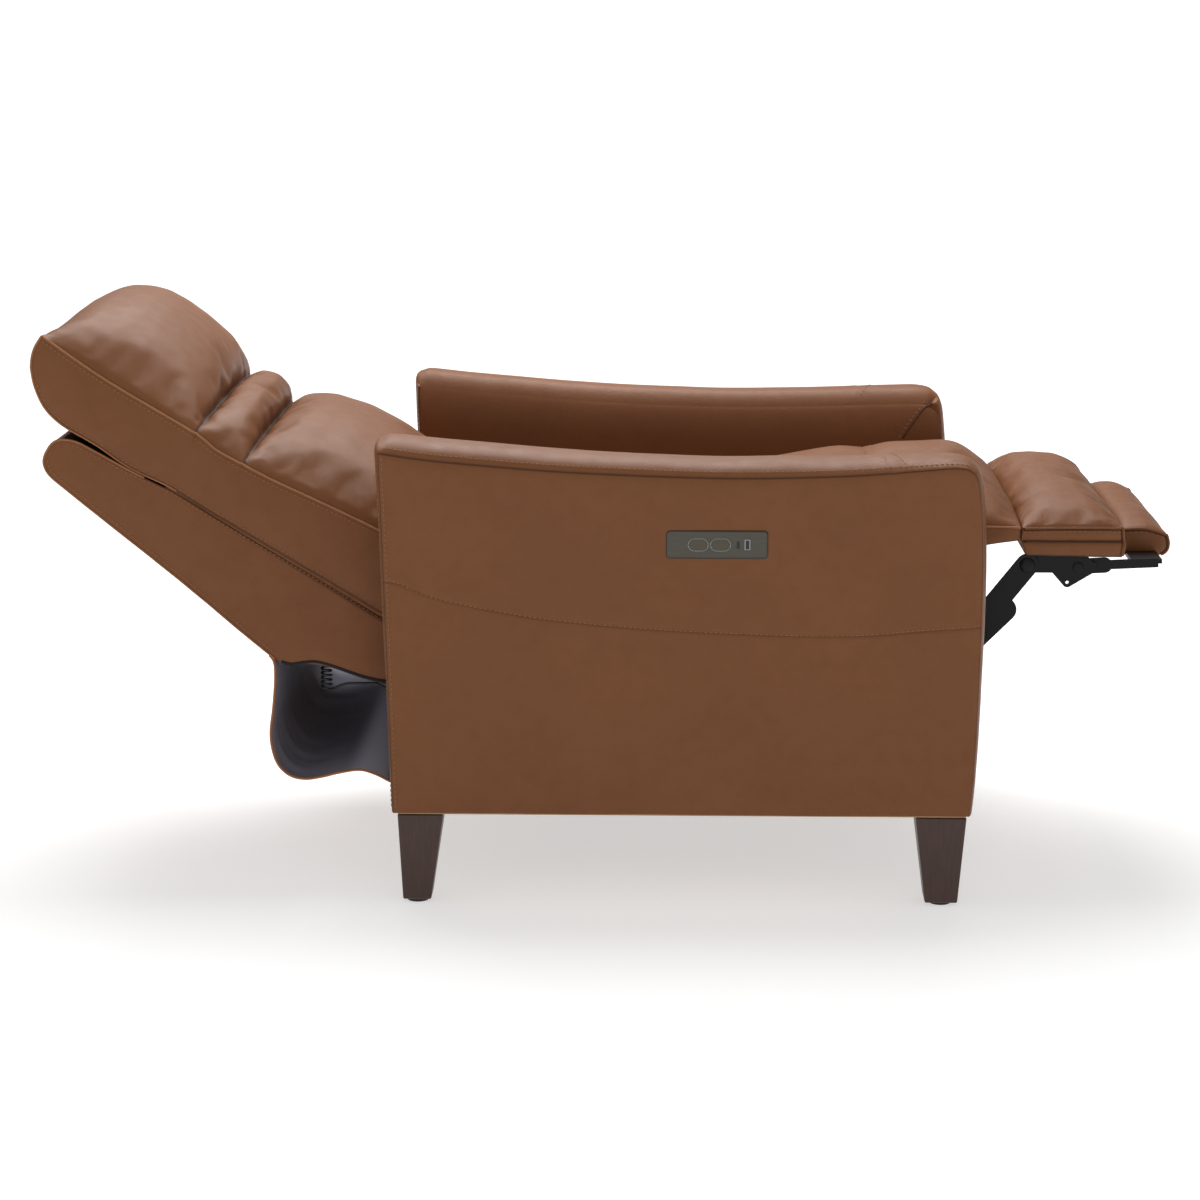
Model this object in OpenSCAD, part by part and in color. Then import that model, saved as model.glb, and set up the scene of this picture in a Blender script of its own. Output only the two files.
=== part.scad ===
// Power reclining armchair in leather, drawn fully reclined with its footrest out.
// +X is the way the sitter faces, +Y their left, +Z up, and the floor is z = 0.
// Everything is laid out from a line near the middle of the arms, and place()
// moves it so that x = 0 is under the middle of the reclined chair.

/* [Body] */
// Width over both arms
chair_w = 790; // [770:5:830]
// Thickness of one arm
arm_t = 110; // [100:2:118]
// Height of the lowest point along the top of an arm
arm_h = 648; // [630:2:670]
// Gap between the floor and the underside of the arms
leg_h = 133; // [110:1:150]

/* [Legs] */
// Width of a front leg at the top
front_leg_top = 72; // [60:1:78]
// Width of a front leg at the floor
front_leg_foot = 46; // [38:1:52]
// Width of a rear leg at the top
rear_leg_top = 65; // [56:1:72]
// Width of a rear leg at the floor
rear_leg_foot = 40; // [34:1:46]

/* [Seat] */
// Upward slope of the seat when reclined
seat_slope = 10; // [9:0.5:11]
// Height of the cushion's crown over the seat frame
seat_crown = 104; // [90:1:110]

/* [Back] */
// Crown of the lower back pad over its side seam
back_crown = 84; // [50:1:88]
// Crown of the head pillow over its side seam
head_crown = 84; // [50:1:88]

/* [Mechanism] */
// Thickness of the steel plates and links
plate_t = 4; // [3:0.5:4]
// Radius of the main pivot pins
pin_r = 6; // [5:0.5:6.5]

/* [Hidden] */
$fn = 48;
centre_x = 102.1;                    // from the arms' datum line to the middle of the chair
run = 0.05;                        // radial clearance of a running pivot
gap = 0.5;                         // between pieces that only lie against each other

arm_rear = -420;                   // rear of the arm at its top
arm_front = 429;                   // front of the arm
inner_y = chair_w / 2 - arm_t;     // inner face of an arm
outer_y = chair_w / 2;
skin = 14;                         // foam and leather over the arm frame
back_w = 2 * inner_y - 10;         // width of the back between the arms
seat_w = 2 * inner_y - 16;         // width of the seat cushion
pad_w = 2 * inner_y - 30;          // width of the footrest pad

// Layers of the mechanism, as the distance from the middle to a plate's inner face
y_base = inner_y - 2 - plate_t;    // plate screwed to the arm
y_link = y_base - 6;               // lower links
y_rail = y_link - 6;               // seat rails and upper links
y_foot = y_rail - 6;               // footrest brackets and back brackets
y_ext = y_foot - 6;                // extension arms

// Pivots, as [x, z]
back_pivot = [-345, 300];          // back and seat turn here
knee_slope = 12;                   // direction in which the footrest is pushed out
knee_bend = 40;                    // half the angle between the links, footrest out
link_len = 144;                    // pivot to pivot, both links
drive_pivot = [281, 428];          // lower links turn here, on the seat rails
knee = drive_pivot + link_len * [cos(knee_slope - knee_bend), sin(knee_slope - knee_bend)];
foot_pivot = knee + link_len * [cos(knee_slope + knee_bend), sin(knee_slope + knee_bend)];
flip_pivot = foot_pivot + [73, -4];
head_pivot = [-690, 648];

leather = "#8a5436";
steel = "#1c1c1e";
timber = "#c9a878";
walnut = "#4a2e20";

// ---------- helpers ----------

module place() { translate([centre_x, 0, 0]) children(); }

// A side view, drawn as [x, z], made w wide and centred on y.
module side(w, y = 0) {
    translate([0, y, 0]) rotate([90, 0, 0]) linear_extrude(w, center = true) children();
}

// The same piece on both sides: children are drawn at +y.
module both() {
    children();
    mirror([0, 1, 0]) children();
}

// A plate from a side view whose inner face is y_in from the middle, both sides.
module plates(y_in, t = plate_t) {
    both() side(t, y_in + t / 2) children();
}

// A link's outline: a bar w wide between two pivots, with round ends.
module bar(a, b, w) {
    hull() {
        translate(a) circle(d = w, $fn = 32);
        translate(b) circle(d = w, $fn = 32);
    }
}

// A straight bar with square ends, from a to b.
function across(a, b) = let (d = b - a, l = norm(d)) [-d[1] / l, d[0] / l];
function bar_points(a, b, w) = let (n = across(a, b) * w / 2) [a + n, b + n, b - n, a - n];

// Round pins along y at a pivot, both sides, from y0 to y1.
module pins(p, r, y0, y1) {
    both() translate([p[0], y0, p[1]]) rotate([-90, 0, 0]) cylinder(r = r, h = y1 - y0);
}

// A Catmull-Rom curve through the points, n steps to each stretch.
function bend(p, i, t) = let (
    a = p[max(i - 1, 0)], b = p[i], c = p[i + 1], d = p[min(i + 2, len(p) - 1)])
    0.5 * (2 * b + t * (c - a) + t * t * (2 * a - 5 * b + 4 * c - d)
        + t * t * t * (3 * b - a - 3 * c + d));
function curve(p, n = 6) = [
    for (i = [0 : len(p) - 2]) for (k = [0 : n - 1]) bend(p, i, k / n), p[len(p) - 1]];

// The two edges of a strip t thick that follows a line of points.
function normal_at(p, i) = across(p[max(i - 1, 0)], p[min(i + 1, len(p) - 1)]);
function strip(p, t) = concat(
    [for (i = [0 : len(p) - 1]) p[i] + normal_at(p, i) * t / 2],
    [for (i = [len(p) - 1 : -1 : 0]) p[i] - normal_at(p, i) * t / 2]);

// A crowned pad that lies along local +x with its seam at z = 0: l long, w wide,
// h high in the middle and low at its sides, with round ends.
function crown(u, low, h) = low + (h - low) * pow(1 - pow(abs(u), 2.4), 0.7);
module crowned_pad(l, w, low, h, end = 30) {
    n = 16;
    intersection() {
        side(w) polygon(concat([[0, 0]], [for (a = [180 : -15 : 90])
            [end + end * cos(a), h - end + end * sin(a)]], [for (a = [90 : -15 : 0])
            [l - end + end * cos(a), h - end + end * sin(a)]], [[l, 0]]));
        rotate([90, 0, 90]) linear_extrude(l) polygon(concat([[w / 2, 0]],
            [for (k = [0 : n]) let (u = 1 - 2 * k / n) [u * w / 2, crown(u, low, h)]],
            [[-w / 2, 0]]));
    }
}

// Puts local +x on the line from a to b, with local +z on its upper side.
module along(a, b) {
    d = b - a;
    translate([a[0], 0, a[1]]) rotate([0, -atan2(d[1], d[0]), 0]) children();
}

// ---------- arms ----------

function arm_top(x) = arm_h + (x < 100 ? 28 * pow((100 - x) / 520, 1.6) : 3 * pow((x - 100) / 290, 2));

function arm_outline(bottom) = concat(
    [[arm_rear + 16, bottom], [arm_rear, arm_top(arm_rear) - 14]],
    [for (a = [165 : -15 : 105]) [arm_rear + 12 + 12 * cos(a), arm_top(arm_rear) - 13 + 12 * sin(a)]],
    [for (x = [arm_rear + 20 : 40 : arm_front - 49]) [x, arm_top(x)]],
    [for (a = [80 : -10 : 0]) [arm_front - 45 + 45 * cos(a), arm_h - 42 + 45 * sin(a)]],
    [[arm_front, arm_h - 200], [arm_front - 1, 307], [arm_front - 8, bottom]]);

// Where the control plate sits on the outer face of the right arm
plate_at = [55.4, 525.5];
plate_size = [138, 37];

module arm_cover(s) {
    color(leather) difference() {
        side(arm_t, s * (outer_y - arm_t / 2)) polygon(arm_outline(leg_h));
        side(arm_t - 2 * skin, s * (outer_y - arm_t / 2))
            offset(delta = -skin) polygon(arm_outline(leg_h - 60));
        if (s < 0)
            translate([plate_at[0], -outer_y, plate_at[1]])
                cube([plate_size[0] - 6, 2 * skin + 4, plate_size[1] - 6], center = true);
    }
}

frame_step = 20;                   // how far the frame's edges lie below its middle slat
slat_w = 50;

module arm_frame_outline() {
    difference() {
        offset(delta = -skin - gap) polygon(arm_outline(leg_h - 60));
        for (x0 = [-365, -20]) translate([x0, 210]) square([300, 355]);
        translate([arm_rear - 100, leg_h - 100]) square([1100, 100]);
    }
}

// The middle slat is narrow, so that the padding can roll over the frame's edges.
module arm_frame(s) {
    color(timber) difference() {
        union() {
            side(slat_w, s * (outer_y - arm_t / 2)) arm_frame_outline();
            side(arm_t - 2 * skin - 2 * gap, s * (outer_y - arm_t / 2)) intersection() {
                arm_frame_outline();
                translate([0, -frame_step]) offset(delta = -skin - gap)
                    polygon(arm_outline(leg_h - 60));
            }
        }
        bolt_holes();
    }
}

// ---------- base rails, legs ----------

rail_l = 2 * inner_y - 2 * gap;

module front_rail() {
    color(timber) translate([372, -rail_l / 2, 145]) cube([26, rail_l, 62]);
}

module front_rail_cover() {
    color(leather) difference() {
        translate([371, -rail_l / 2, leg_h + 3]) cube([47, rail_l, 82]);
        translate([360, -rail_l / 2 - 1, leg_h]) cube([38 + gap, rail_l + 2, 74 + gap]);
    }
}

module rear_rail() {
    color(timber) translate([-398, -rail_l / 2, leg_h + 3]) cube([26, rail_l, 98]);
}

glide_h = 5;
leg_inset = 15;                    // from the arm's outer face to the top of a leg
leg_lean = 6;                      // how far the outer face leans in on its way down
bolt_r = 4;
bolt_in = 30;                      // how far a bolt goes into the leg, and into the arm frame
foot_x = [-387, 354];              // rear edge of the rear and front feet

// A leg that tapers to the floor, with the hole for the bolt that holds it.
module leg(x_top, x_foot, top, foot, s) {
    y_out = outer_y - leg_inset;
    color(walnut) difference() {
        hull() {
            translate([x_top, s > 0 ? y_out - top : -y_out, leg_h - gap - 0.5])
                cube([top, top, 0.5]);
            translate([x_foot, s > 0 ? y_out - foot - leg_lean : leg_lean - y_out, glide_h])
                cube([foot, foot, 0.5]);
        }
        bolt_holes();
    }
}

module leg_front(s) leg(338, foot_x[1], front_leg_top, front_leg_foot, s);
module leg_rear(s) leg(-393, foot_x[0], rear_leg_top, rear_leg_foot, s);

module at_feet() {
    for (f = [[foot_x[0], rear_leg_foot], [foot_x[1], front_leg_foot]]) both()
        translate([f[0] + f[1] / 2, outer_y - leg_inset - leg_lean - f[1] / 2, 0]) children();
}

module bolt_holes() at_feet() translate([0, 0, leg_h - bolt_in]) cylinder(r = bolt_r, h = 2 * bolt_in);

module leg_glides() {
    color("#2a2725") at_feet() cylinder(r = 15, h = glide_h);
}

module leg_bolts() {
    color("silver") at_feet() translate([0, 0, leg_h - bolt_in]) cylinder(r = bolt_r, h = 2 * bolt_in);
}

// ---------- control plate ----------

button_x = [-26, 4.8];             // centres of the two buttons from the plate's centre
button_size = [25.6, 15.2];
button_play = 0.7;                 // round a button in the plate's window
port_x = [29.2, 41.9];             // centres of the two sockets

module slot2d(l, h) {
    hull() for (s = [-1, 1]) translate([s * (l - h) / 2, 0]) circle(d = h, $fn = 32);
}

module at_plate(y = 0) { translate([plate_at[0], -outer_y + y, plate_at[1]]) children(); }

module outward(t) { rotate([90, 0, 0]) linear_extrude(t) children(); }

module control_plate() {
    color("#55564f") at_plate() difference() {
        outward(2.5) difference() {
            square(plate_size, center = true);
            for (sx = [-1, 1]) for (sz = [-1, 1]) translate([sx * plate_size[0] / 2, sz * plate_size[1] / 2])
                difference() {
                    square(8, center = true);
                    translate([-sx * 4, -sz * 4]) circle(r = 4);
                }
        }
        translate([0, 1, 0]) outward(5) {
            for (x = button_x) translate([x, 0])
                square(button_size + 2 * [button_play, button_play], center = true);
            translate([port_x[0], 0]) square([4.4, 10.6], center = true);
            translate([port_x[1], 0]) square([8.4, 15.2], center = true);
        }
    }
}

module switch_housing() {
    color("#222224") at_plate(1) difference() {
        translate([-62, 0, -15]) cube([124, 28, 30]);
        for (x = button_x) translate([x - 13.6, -1, -8.4]) cube([27.2, 12, 16.8]);
        translate([port_x[0] - 2.3, -1, -5.4]) cube([4.6, 9, 10.8]);
        translate([port_x[1] - 4.3, -1, -7.7]) cube([8.6, 14, 15.4]);
    }
}

module rocker_button(i) {
    color("#5a4f3a") at_plate() translate([button_x[i], 0, 0])
        translate([0, 6, 0]) outward(9) intersection() {
            slot2d(button_size[0], button_size[1]);
            square(button_size, center = true);
        }
}

module usb_a_port() {
    color("silver") at_plate() translate([port_x[1], 0, 0]) {
        difference() {
            translate([-4, -2.4, -7.3]) cube([8, 12, 14.6]);
            translate([-2.5, -3, -6.2]) cube([5, 10.6, 12.4]);
        }
        translate([-2.5 + 2.9, -1.2, -5.4]) cube([1.8, 10, 10.8]);
    }
}

module usb_c_port() {
    color("#3a3a3c") at_plate() translate([port_x[0], 0, 0]) difference() {
        translate([-2.1, -2.4, -5.2]) cube([4.2, 8, 10.4]);
        translate([-1.3, -3, -4.2]) cube([2.6, 7, 8.4]);
    }
}

// ---------- base mechanism ----------

module base_plates() {
    color(steel) plates(y_base) difference() {
        hull() {
            translate(back_pivot) circle(r = 26, $fn = 32);
            translate([-300, 250]) circle(r = 16, $fn = 32);
            translate([230, 262]) circle(r = 16, $fn = 32);
            translate([230, 290]) circle(r = 16, $fn = 32);
        }
        translate(back_pivot) circle(r = pin_r);
        for (x = [-240, 210]) translate([x, 268]) circle(r = 13);
    }
}

module cross_tubes() {
    color(steel) for (x = [-240, 210]) translate([x, 0, 268]) rotate([90, 0, 0])
        cylinder(r = 12.9, h = 2 * (y_base + plate_t), center = true);
}

module rear_pivot_pins() {
    color("silver") pins(back_pivot, pin_r, y_foot - 2, inner_y - 1);
}

motor_y = 60;
module recline_motor() {
    color("#161618") {
        difference() {
            union() {
                translate([-222, motor_y - 30, 284]) cube([70, 60, 47]);
                translate([-258, motor_y - 12, 250]) cube([50, 24, 70]);
            }
            translate([-240, motor_y - 40, 268]) rotate([-90, 0, 0]) cylinder(r = 13, h = 80);
        }
        translate([-187, motor_y - 31, 308]) rotate([90, 0, 0]) cylinder(r = 24, h = 96);
    }
}

rail_z = 308;
module actuator_rail() {
    color("#8e9094") difference() {
        translate([-151, motor_y - 17, rail_z - 14]) cube([330, 34, 28]);
        translate([-150, motor_y - 11, rail_z - 8]) cube([322, 22, 30]);
    }
}

module actuator_nut() {
    color("#161618") {
        translate([120, motor_y - 10.5, rail_z - 7.5]) cube([46, 21, 30]);
        translate([130, motor_y - 10.5, rail_z + 22]) cube([26, 21, 14]);
    }
}

module power_inlet() {
    color("#161618") difference() {
        translate([-370, -190, 160]) cube([40, 50, 26]);
        translate([-350, -165, 159]) cylinder(r = 2.75, h = 10.5);
    }
}

// ---------- rear flap ----------

flap_line = curve([[-567, 323], [-579, 275], [-583, 222], [-572, 175], [-535, 155],
    [-490, 163], [-455, 169], [-425, 158], [-400, 146]], 6);

module rear_flap() {
    color(leather) side(back_w - 6) polygon(strip(flap_line, 3));
}

// ---------- seat ----------

seat_nose = [450, 508];            // where the top of the seat frame would meet the nose
module on_seat() {
    translate([seat_nose[0], 0, seat_nose[1]]) rotate([0, -seat_slope, 0]) children();
}

module seat_rails() {
    color(steel) plates(y_rail) difference() {
        union() {
            bar(back_pivot, [-240, 356], 40);
            bar([-240, 356], [150, 405], 36);
            bar([150, 405], drive_pivot, 34);
        }
        translate(back_pivot) circle(r = pin_r + run);
        translate(drive_pivot) circle(r = 8 + run);
    }
}

frame_h = 32;
module seat_frame() {
    color(timber) on_seat() {
        both() translate([-690, y_rail - 30, -frame_h]) cube([583, 28, frame_h - gap]);
        for (x = [-690, -139]) translate([x, -y_rail + 31, -frame_h])
            cube([32, 2 * y_rail - 62, frame_h - gap]);
    }
}

module seat_springs() {
    color("#9a9c9f") on_seat() for (y = [-180 : 60 : 180]) {
        translate([-657, y - 2, -6]) cube([517, 4, 4]);
        for (x = [-630 : 60 : -170]) translate([x, y - 20, -6]) cube([4, 40, 4]);
    }
}

// Side view of the seat cushion in the seat's own frame, thinner at the rear
seat_seam = -152;
module seat_cushion() {
    n = 16;
    color(leather) on_seat() intersection() {
        side(seat_w) polygon(concat([[seat_seam - gap, 0]],
            [for (x = [seat_seam - gap : -40 : -660]) [x, x > -400 ? seat_crown
                : seat_crown - 48 * (1 - cos(180 * min(1, (-400 - x) / 300))) / 2]],
            [[-700, 50], [-711, 30], [-711, 0]]));
        translate([-720, 0, 0]) rotate([90, 0, 90]) linear_extrude(700) polygon(concat(
            [[seat_w / 2, 0]],
            [for (k = [0 : n]) let (u = 1 - 2 * k / n) [u * seat_w / 2, crown(u, 30, seat_crown)]],
            [[-seat_w / 2, 0]]));
    }
}

module seat_apron() {
    color("#2b2724") side(seat_w - 40) polygon(strip(curve([[-256, 405], [-285, 398],
        [-318, 384], [-343, 366]], 4), 3));
}

module chaise_pad() {
    color(leather) on_seat() translate([seat_seam + gap, 0, 0])
        crowned_pad(130, seat_w, 26, seat_crown - 4, 34);
}

module chaise_bridge() {
    color(leather) on_seat() translate([-18, 0, 4])
        crowned_pad(52, seat_w - 16, 20, 68, 20);
}

// ---------- footrest linkage ----------

module lower_links() {
    color(steel) plates(y_link) difference() {
        bar(drive_pivot, knee, 30);
        translate(drive_pivot) circle(r = 8);
        translate(knee) circle(r = pin_r);
    }
}

module drive_tube() {
    color(steel) {
        translate([drive_pivot[0], 0, drive_pivot[1]]) rotate([90, 0, 0])
            cylinder(r = 8, h = 2 * (y_link + plate_t), center = true);
        difference() {
            translate([drive_pivot[0], 0, drive_pivot[1]]) rotate([90, 0, 0])
                cylinder(r = 12, h = 2 * y_rail - 2, center = true);
            translate([drive_pivot[0], 0, drive_pivot[1]]) rotate([90, 0, 0])
                cylinder(r = 8, h = 2 * y_rail, center = true);
        }
        side(8, motor_y + 24) difference() {
            bar(drive_pivot, drive_pivot + [-60, -72], 26);
            translate(drive_pivot) circle(r = 12);
        }
    }
}

module knee_pins() {
    color("silver") pins(knee, pin_r, y_rail - 1, y_link + plate_t + 0.5);
}

module upper_links() {
    color(steel) plates(y_rail) difference() {
        union() {
            bar(knee, foot_pivot, 32);
            bar(knee + [12, 2], (knee + foot_pivot) / 2 + [14, -8], 34);
        }
        translate(knee) circle(r = pin_r + run);
        translate(foot_pivot) circle(r = pin_r);
    }
}

module footrest_pins() {
    color("silver") pins(foot_pivot, pin_r, y_foot - 1, y_rail + plate_t + 0.5);
}

// ---------- footrest ----------

board_z = foot_pivot[1] + 13;      // underside of the footrest board
pad_x = foot_pivot[0] - 5;         // rear end of the footrest pad
pad_l = 139;

module footrest_brackets() {
    color(steel) plates(y_foot) difference() {
        union() {
            bar(foot_pivot + [2, 0], flip_pivot + [8, 4], 24);
            hull() {
                translate(foot_pivot + [40, -4]) circle(r = 8, $fn = 32);
                translate(foot_pivot + [92, -4]) circle(r = 8, $fn = 32);
                translate(foot_pivot + [58, -26]) circle(r = 7, $fn = 32);
            }
            translate([pad_x + 4, board_z - 14]) square([88, 14 - gap]);
        }
        translate(foot_pivot) circle(r = pin_r + run);
        translate(flip_pivot) circle(r = 5);
        translate(foot_pivot + [58, -26]) circle(r = 2.5);
    }
}

module footrest_board() {
    color(timber) translate([pad_x + 3, -pad_w / 2 + 6, board_z]) cube([pad_l - 6, pad_w - 12, 15]);
}

module footrest_pad() {
    color(leather) translate([pad_x, 0, board_z + 15 + gap]) crowned_pad(pad_l, pad_w, 22, 64, 26);
}

module extension_pins() {
    color("silver") pins(flip_pivot, 5, y_ext - 1, y_foot + plate_t + 0.5);
}

ext_x = pad_x + pad_l + 9;         // rear end of the extension
ext_z = flip_pivot[1] + 4;         // underside of its board
ext_l = 67;
ext_w = 380;
ext_board = [44, 2 * y_ext - 2 * gap, 6];

module extension_arms() {
    color(steel) plates(y_ext) difference() {
        union() {
            bar(flip_pivot, flip_pivot + [38, 2], 22);
            polygon(bar_points(flip_pivot + [30, 2], [ext_x + 44, ext_z + 2], 13));
        }
        translate(flip_pivot) circle(r = 5 + run);
    }
}

module extension_board() {
    color(steel) translate([ext_x + 6, -ext_board[1] / 2, ext_z]) cube(ext_board);
}

module extension_pad() {
    color(leather) difference() {
        translate([ext_x, 0, ext_z - 2]) crowned_pad(ext_l, ext_w, 38, 57, 24);
        translate([ext_x + 6 - gap, -ext_board[1] / 2, ext_z - 3])
            cube([ext_board[0] + 2 * gap, ext_board[1], ext_board[2] + 3 + gap]);
    }
}

// ---------- back ----------

// Side seam of the back from its lower end to the head crease, and the line where
// the cushion's side meets the outer shell
seam_low = [-353, 484];
seam_bend = [-613, 613];
seam_crease = [-682, 658];
seam_top = [-894, 797];
back_line = [[-402, 378], [-434, 401], [-495, 443], [-560, 473], [-635, 519], [-674, 550], [-726, 582]];

module back_core() {
    color(leather) difference() {
        side(back_w) polygon(concat(
            [[-372, 388]], [for (p = back_line) p + [0, gap]],
            [[-723, 588], seam_crease, seam_bend, seam_low]));
        // room for the headrest's hinges
        both() side(20, hinge_y) translate(head_pivot) circle(r = 15);
        both() side(6, hinge_y + plate_t) bar(head_pivot, hinge_foot, 22);
    }
}

module back_pad() {
    color(leather) along(seam_bend + [8, -4], seam_low) translate([0, 0, gap])
        crowned_pad(norm(seam_low - seam_bend) - 10, back_w, 4, back_crown, 34);
}

module lumbar_roll() {
    color(leather) along(seam_crease + [4, -2], seam_bend) translate([0, 0, gap])
        crowned_pad(norm(seam_bend - seam_crease) - 6, back_w, 4, 60, 24);
}

shell_outline = concat(
    [[-398, 298], [-439, 305]], [for (a = [0 : 15 : 60]) [-500 + 61 * cos(a) - 1, 296 + 30 * sin(a)]],
    [[-545, 325], [-568, 326], [-697, 438], [-883, 591], [-896, 605], [-900, 619],
    [-894, 633], [-878, 645], [-862, 648]], [for (i = [6 : -1 : 0]) back_line[i] - [0, gap]]);

shell_hollow = [[-380, 308], [-545, 340], [-560, 342], [-697, 458], [-870, 600], [-884, 620],
    [-870, 680], [-700, 620], [-560, 520], [-380, 420]];

module back_shell() {
    color(leather) difference() {
        side(back_w) polygon(shell_outline);
        side(back_w - 2 * skin) polygon(shell_hollow);
    }
}

stile_low = [-440, 362];
stile_top = [-832, 597];
module back_frame() {
    color(timber) {
        both() side(30, y_foot - 17) polygon(bar_points(stile_low, stile_top, 34));
        for (k = [0.06, 0.45, 0.93]) along(stile_low + k * (stile_top - stile_low), stile_top)
            translate([-17, -y_foot + 32.5, -15]) cube([34, 2 * y_foot - 65, 26]);
    }
}

module back_springs() {
    color("#9a9c9f") for (k = [0.16 : 0.09 : 0.82])
        if (abs(k - 0.45) > 0.06)
            translate([stile_low[0] + k * (stile_top[0] - stile_low[0]), 0,
                stile_low[1] + k * (stile_top[1] - stile_low[1]) + 10])
                cube([4, 2 * y_foot - 66, 4], center = true);
}

module back_brackets() {
    color(steel) plates(y_foot) difference() {
        union() {
            bar(back_pivot, [-395, 335], 40);
            polygon(bar_points([-385, 328], [-560, 434], 30));
        }
        translate(back_pivot) circle(r = pin_r + run);
    }
}

module headrest_motor() {
    color("#161618") along([-668, 490], [-768, 551]) translate([-30, -28, -4]) cube([96, 56, 34]);
}

// ---------- headrest ----------

hinge_y = 182;                     // middle of the headrest's steel arms
hinge_foot = [-705, 510];          // where its hinge plates leave the back frame

module headrest_hinges() {
    color(steel) both() side(plate_t, hinge_y + plate_t) bar(head_pivot, hinge_foot, 18);
    color("silver") pins(head_pivot, 5, hinge_y - 4, hinge_y + plate_t / 2);
}

module headrest_frame() {
    color(steel) {
        both() side(plate_t - 2 * run, hinge_y) difference() {
            union() {
                bar(head_pivot, head_pivot + [-44, 10], 18);
                bar(head_pivot + [-44, 10], head_pivot + [-150, 84], 22);
            }
            translate(head_pivot) circle(r = 5 + run);
        }
        along(head_pivot + [-160, 91], head_pivot + [-54, 17]) translate([0, -179, -5]) cube([22, 358, 10]);
    }
}

head_low = [-700, 666];
module head_core() {
    color(leather) difference() {
        side(back_w) polygon(concat([[-733, 592], head_pivot + [-26, -20], head_low],
            [seam_top], curve([[-905, 777], [-911, 755], [-908, 728], [-898, 700], [-864, 668]], 4),
            [[-821, 643], [-779, 615]]));
        // room for the headrest's steel arms and their pins
        both() side(20, hinge_y) {
            bar(head_pivot + [0, -4], head_pivot + [-44, 10], 34);
            bar(head_pivot + [-44, 10], head_pivot + [-156, 88], 26);
        }
        along(head_pivot + [-163, 92], head_pivot + [-54, 17]) translate([-2, -182, -8]) cube([32, 364, 16]);
    }
}

module head_pillow() {
    color(leather) along(seam_top, head_low) translate([2, 0, gap]) difference() {
        crowned_pad(norm(head_low - seam_top) - 2, back_w, 4, head_crown, 40);
        translate([norm(head_low - seam_top) - 4, -back_w, 0]) rotate([0, -36, 0])
            translate([0, 0, -60]) cube([120, 2 * back_w, 300]);
    }
}

// ---------- headrest lead ----------

lead_y = -250;
lead_coil = [-504.5, 284];         // foot of the curly stretch
lead_line = curve([lead_coil - [0, 3], [-496, 280], [-484, 289], [-470, 291], [-430, 291],
    [-405, 272], [-392, 250]], 5);
module headrest_lead() {
    color("#101011") {
        translate([lead_coil[0], lead_y, lead_coil[1]]) cylinder(r = 8.5, h = 39);
        side(4, lead_y) polygon(strip(lead_line, 4));
    }
}

// ---------- the nodes ----------

place() arm_cover(-1);  // arm_cover_right
place() arm_cover(1);  // arm_cover_left
place() arm_frame(-1);  // arm_frame_right
place() arm_frame(1);  // arm_frame_left
place() front_rail();
place() front_rail_cover();
place() rear_rail();
place() leg_front(-1);  // leg_front_right
place() leg_front(1);  // leg_front_left
place() leg_rear(-1);  // leg_rear_right
place() leg_rear(1);  // leg_rear_left
place() leg_glides();
place() leg_bolts();
place() control_plate();
place() switch_housing();
place() usb_a_port();
place() usb_c_port();
place() rocker_button(0);  // recline_button
place() rocker_button(1);  // headrest_button
place() base_plates();
place() cross_tubes();
place() rear_pivot_pins();
place() recline_motor();
place() actuator_rail();
place() actuator_nut();
place() power_inlet();
place() rear_flap();
place() seat_rails();
place() seat_frame();
place() seat_springs();
place() seat_cushion();
place() seat_apron();
place() chaise_pad();
place() chaise_bridge();
place() lower_links();
place() drive_tube();
place() knee_pins();
place() upper_links();
place() footrest_pins();
place() footrest_brackets();
place() footrest_board();
place() footrest_pad();
place() extension_pins();
place() extension_arms();
place() extension_board();
place() extension_pad();
place() back_brackets();
place() back_frame();
place() back_springs();
place() back_core();
place() back_pad();
place() lumbar_roll();
place() back_shell();
place() headrest_motor();
place() headrest_hinges();
place() headrest_frame();
place() head_core();
place() head_pillow();
place() headrest_lead();
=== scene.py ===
# %% [markdown]
# # A power recliner in tan leather
# The chair is drawn fully reclined, with its footrest out. The steel mechanism, the
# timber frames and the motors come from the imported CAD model, which is the fixed
# frame of this scene. Everything soft, and everything that needs a finer surface
# than the CAD gives, is made here and rides on one of the frame's bodies.
#
# Shapes are written in millimetres, as [x, z] points of the side view, because that
# is how an upholsterer would draw this chair: a side view first, then the width.

# %% Load the frame
import math

import bmesh
import bpy
import numpy as np
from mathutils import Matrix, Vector, noise
from mathutils.bvhtree import BVHTree


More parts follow.
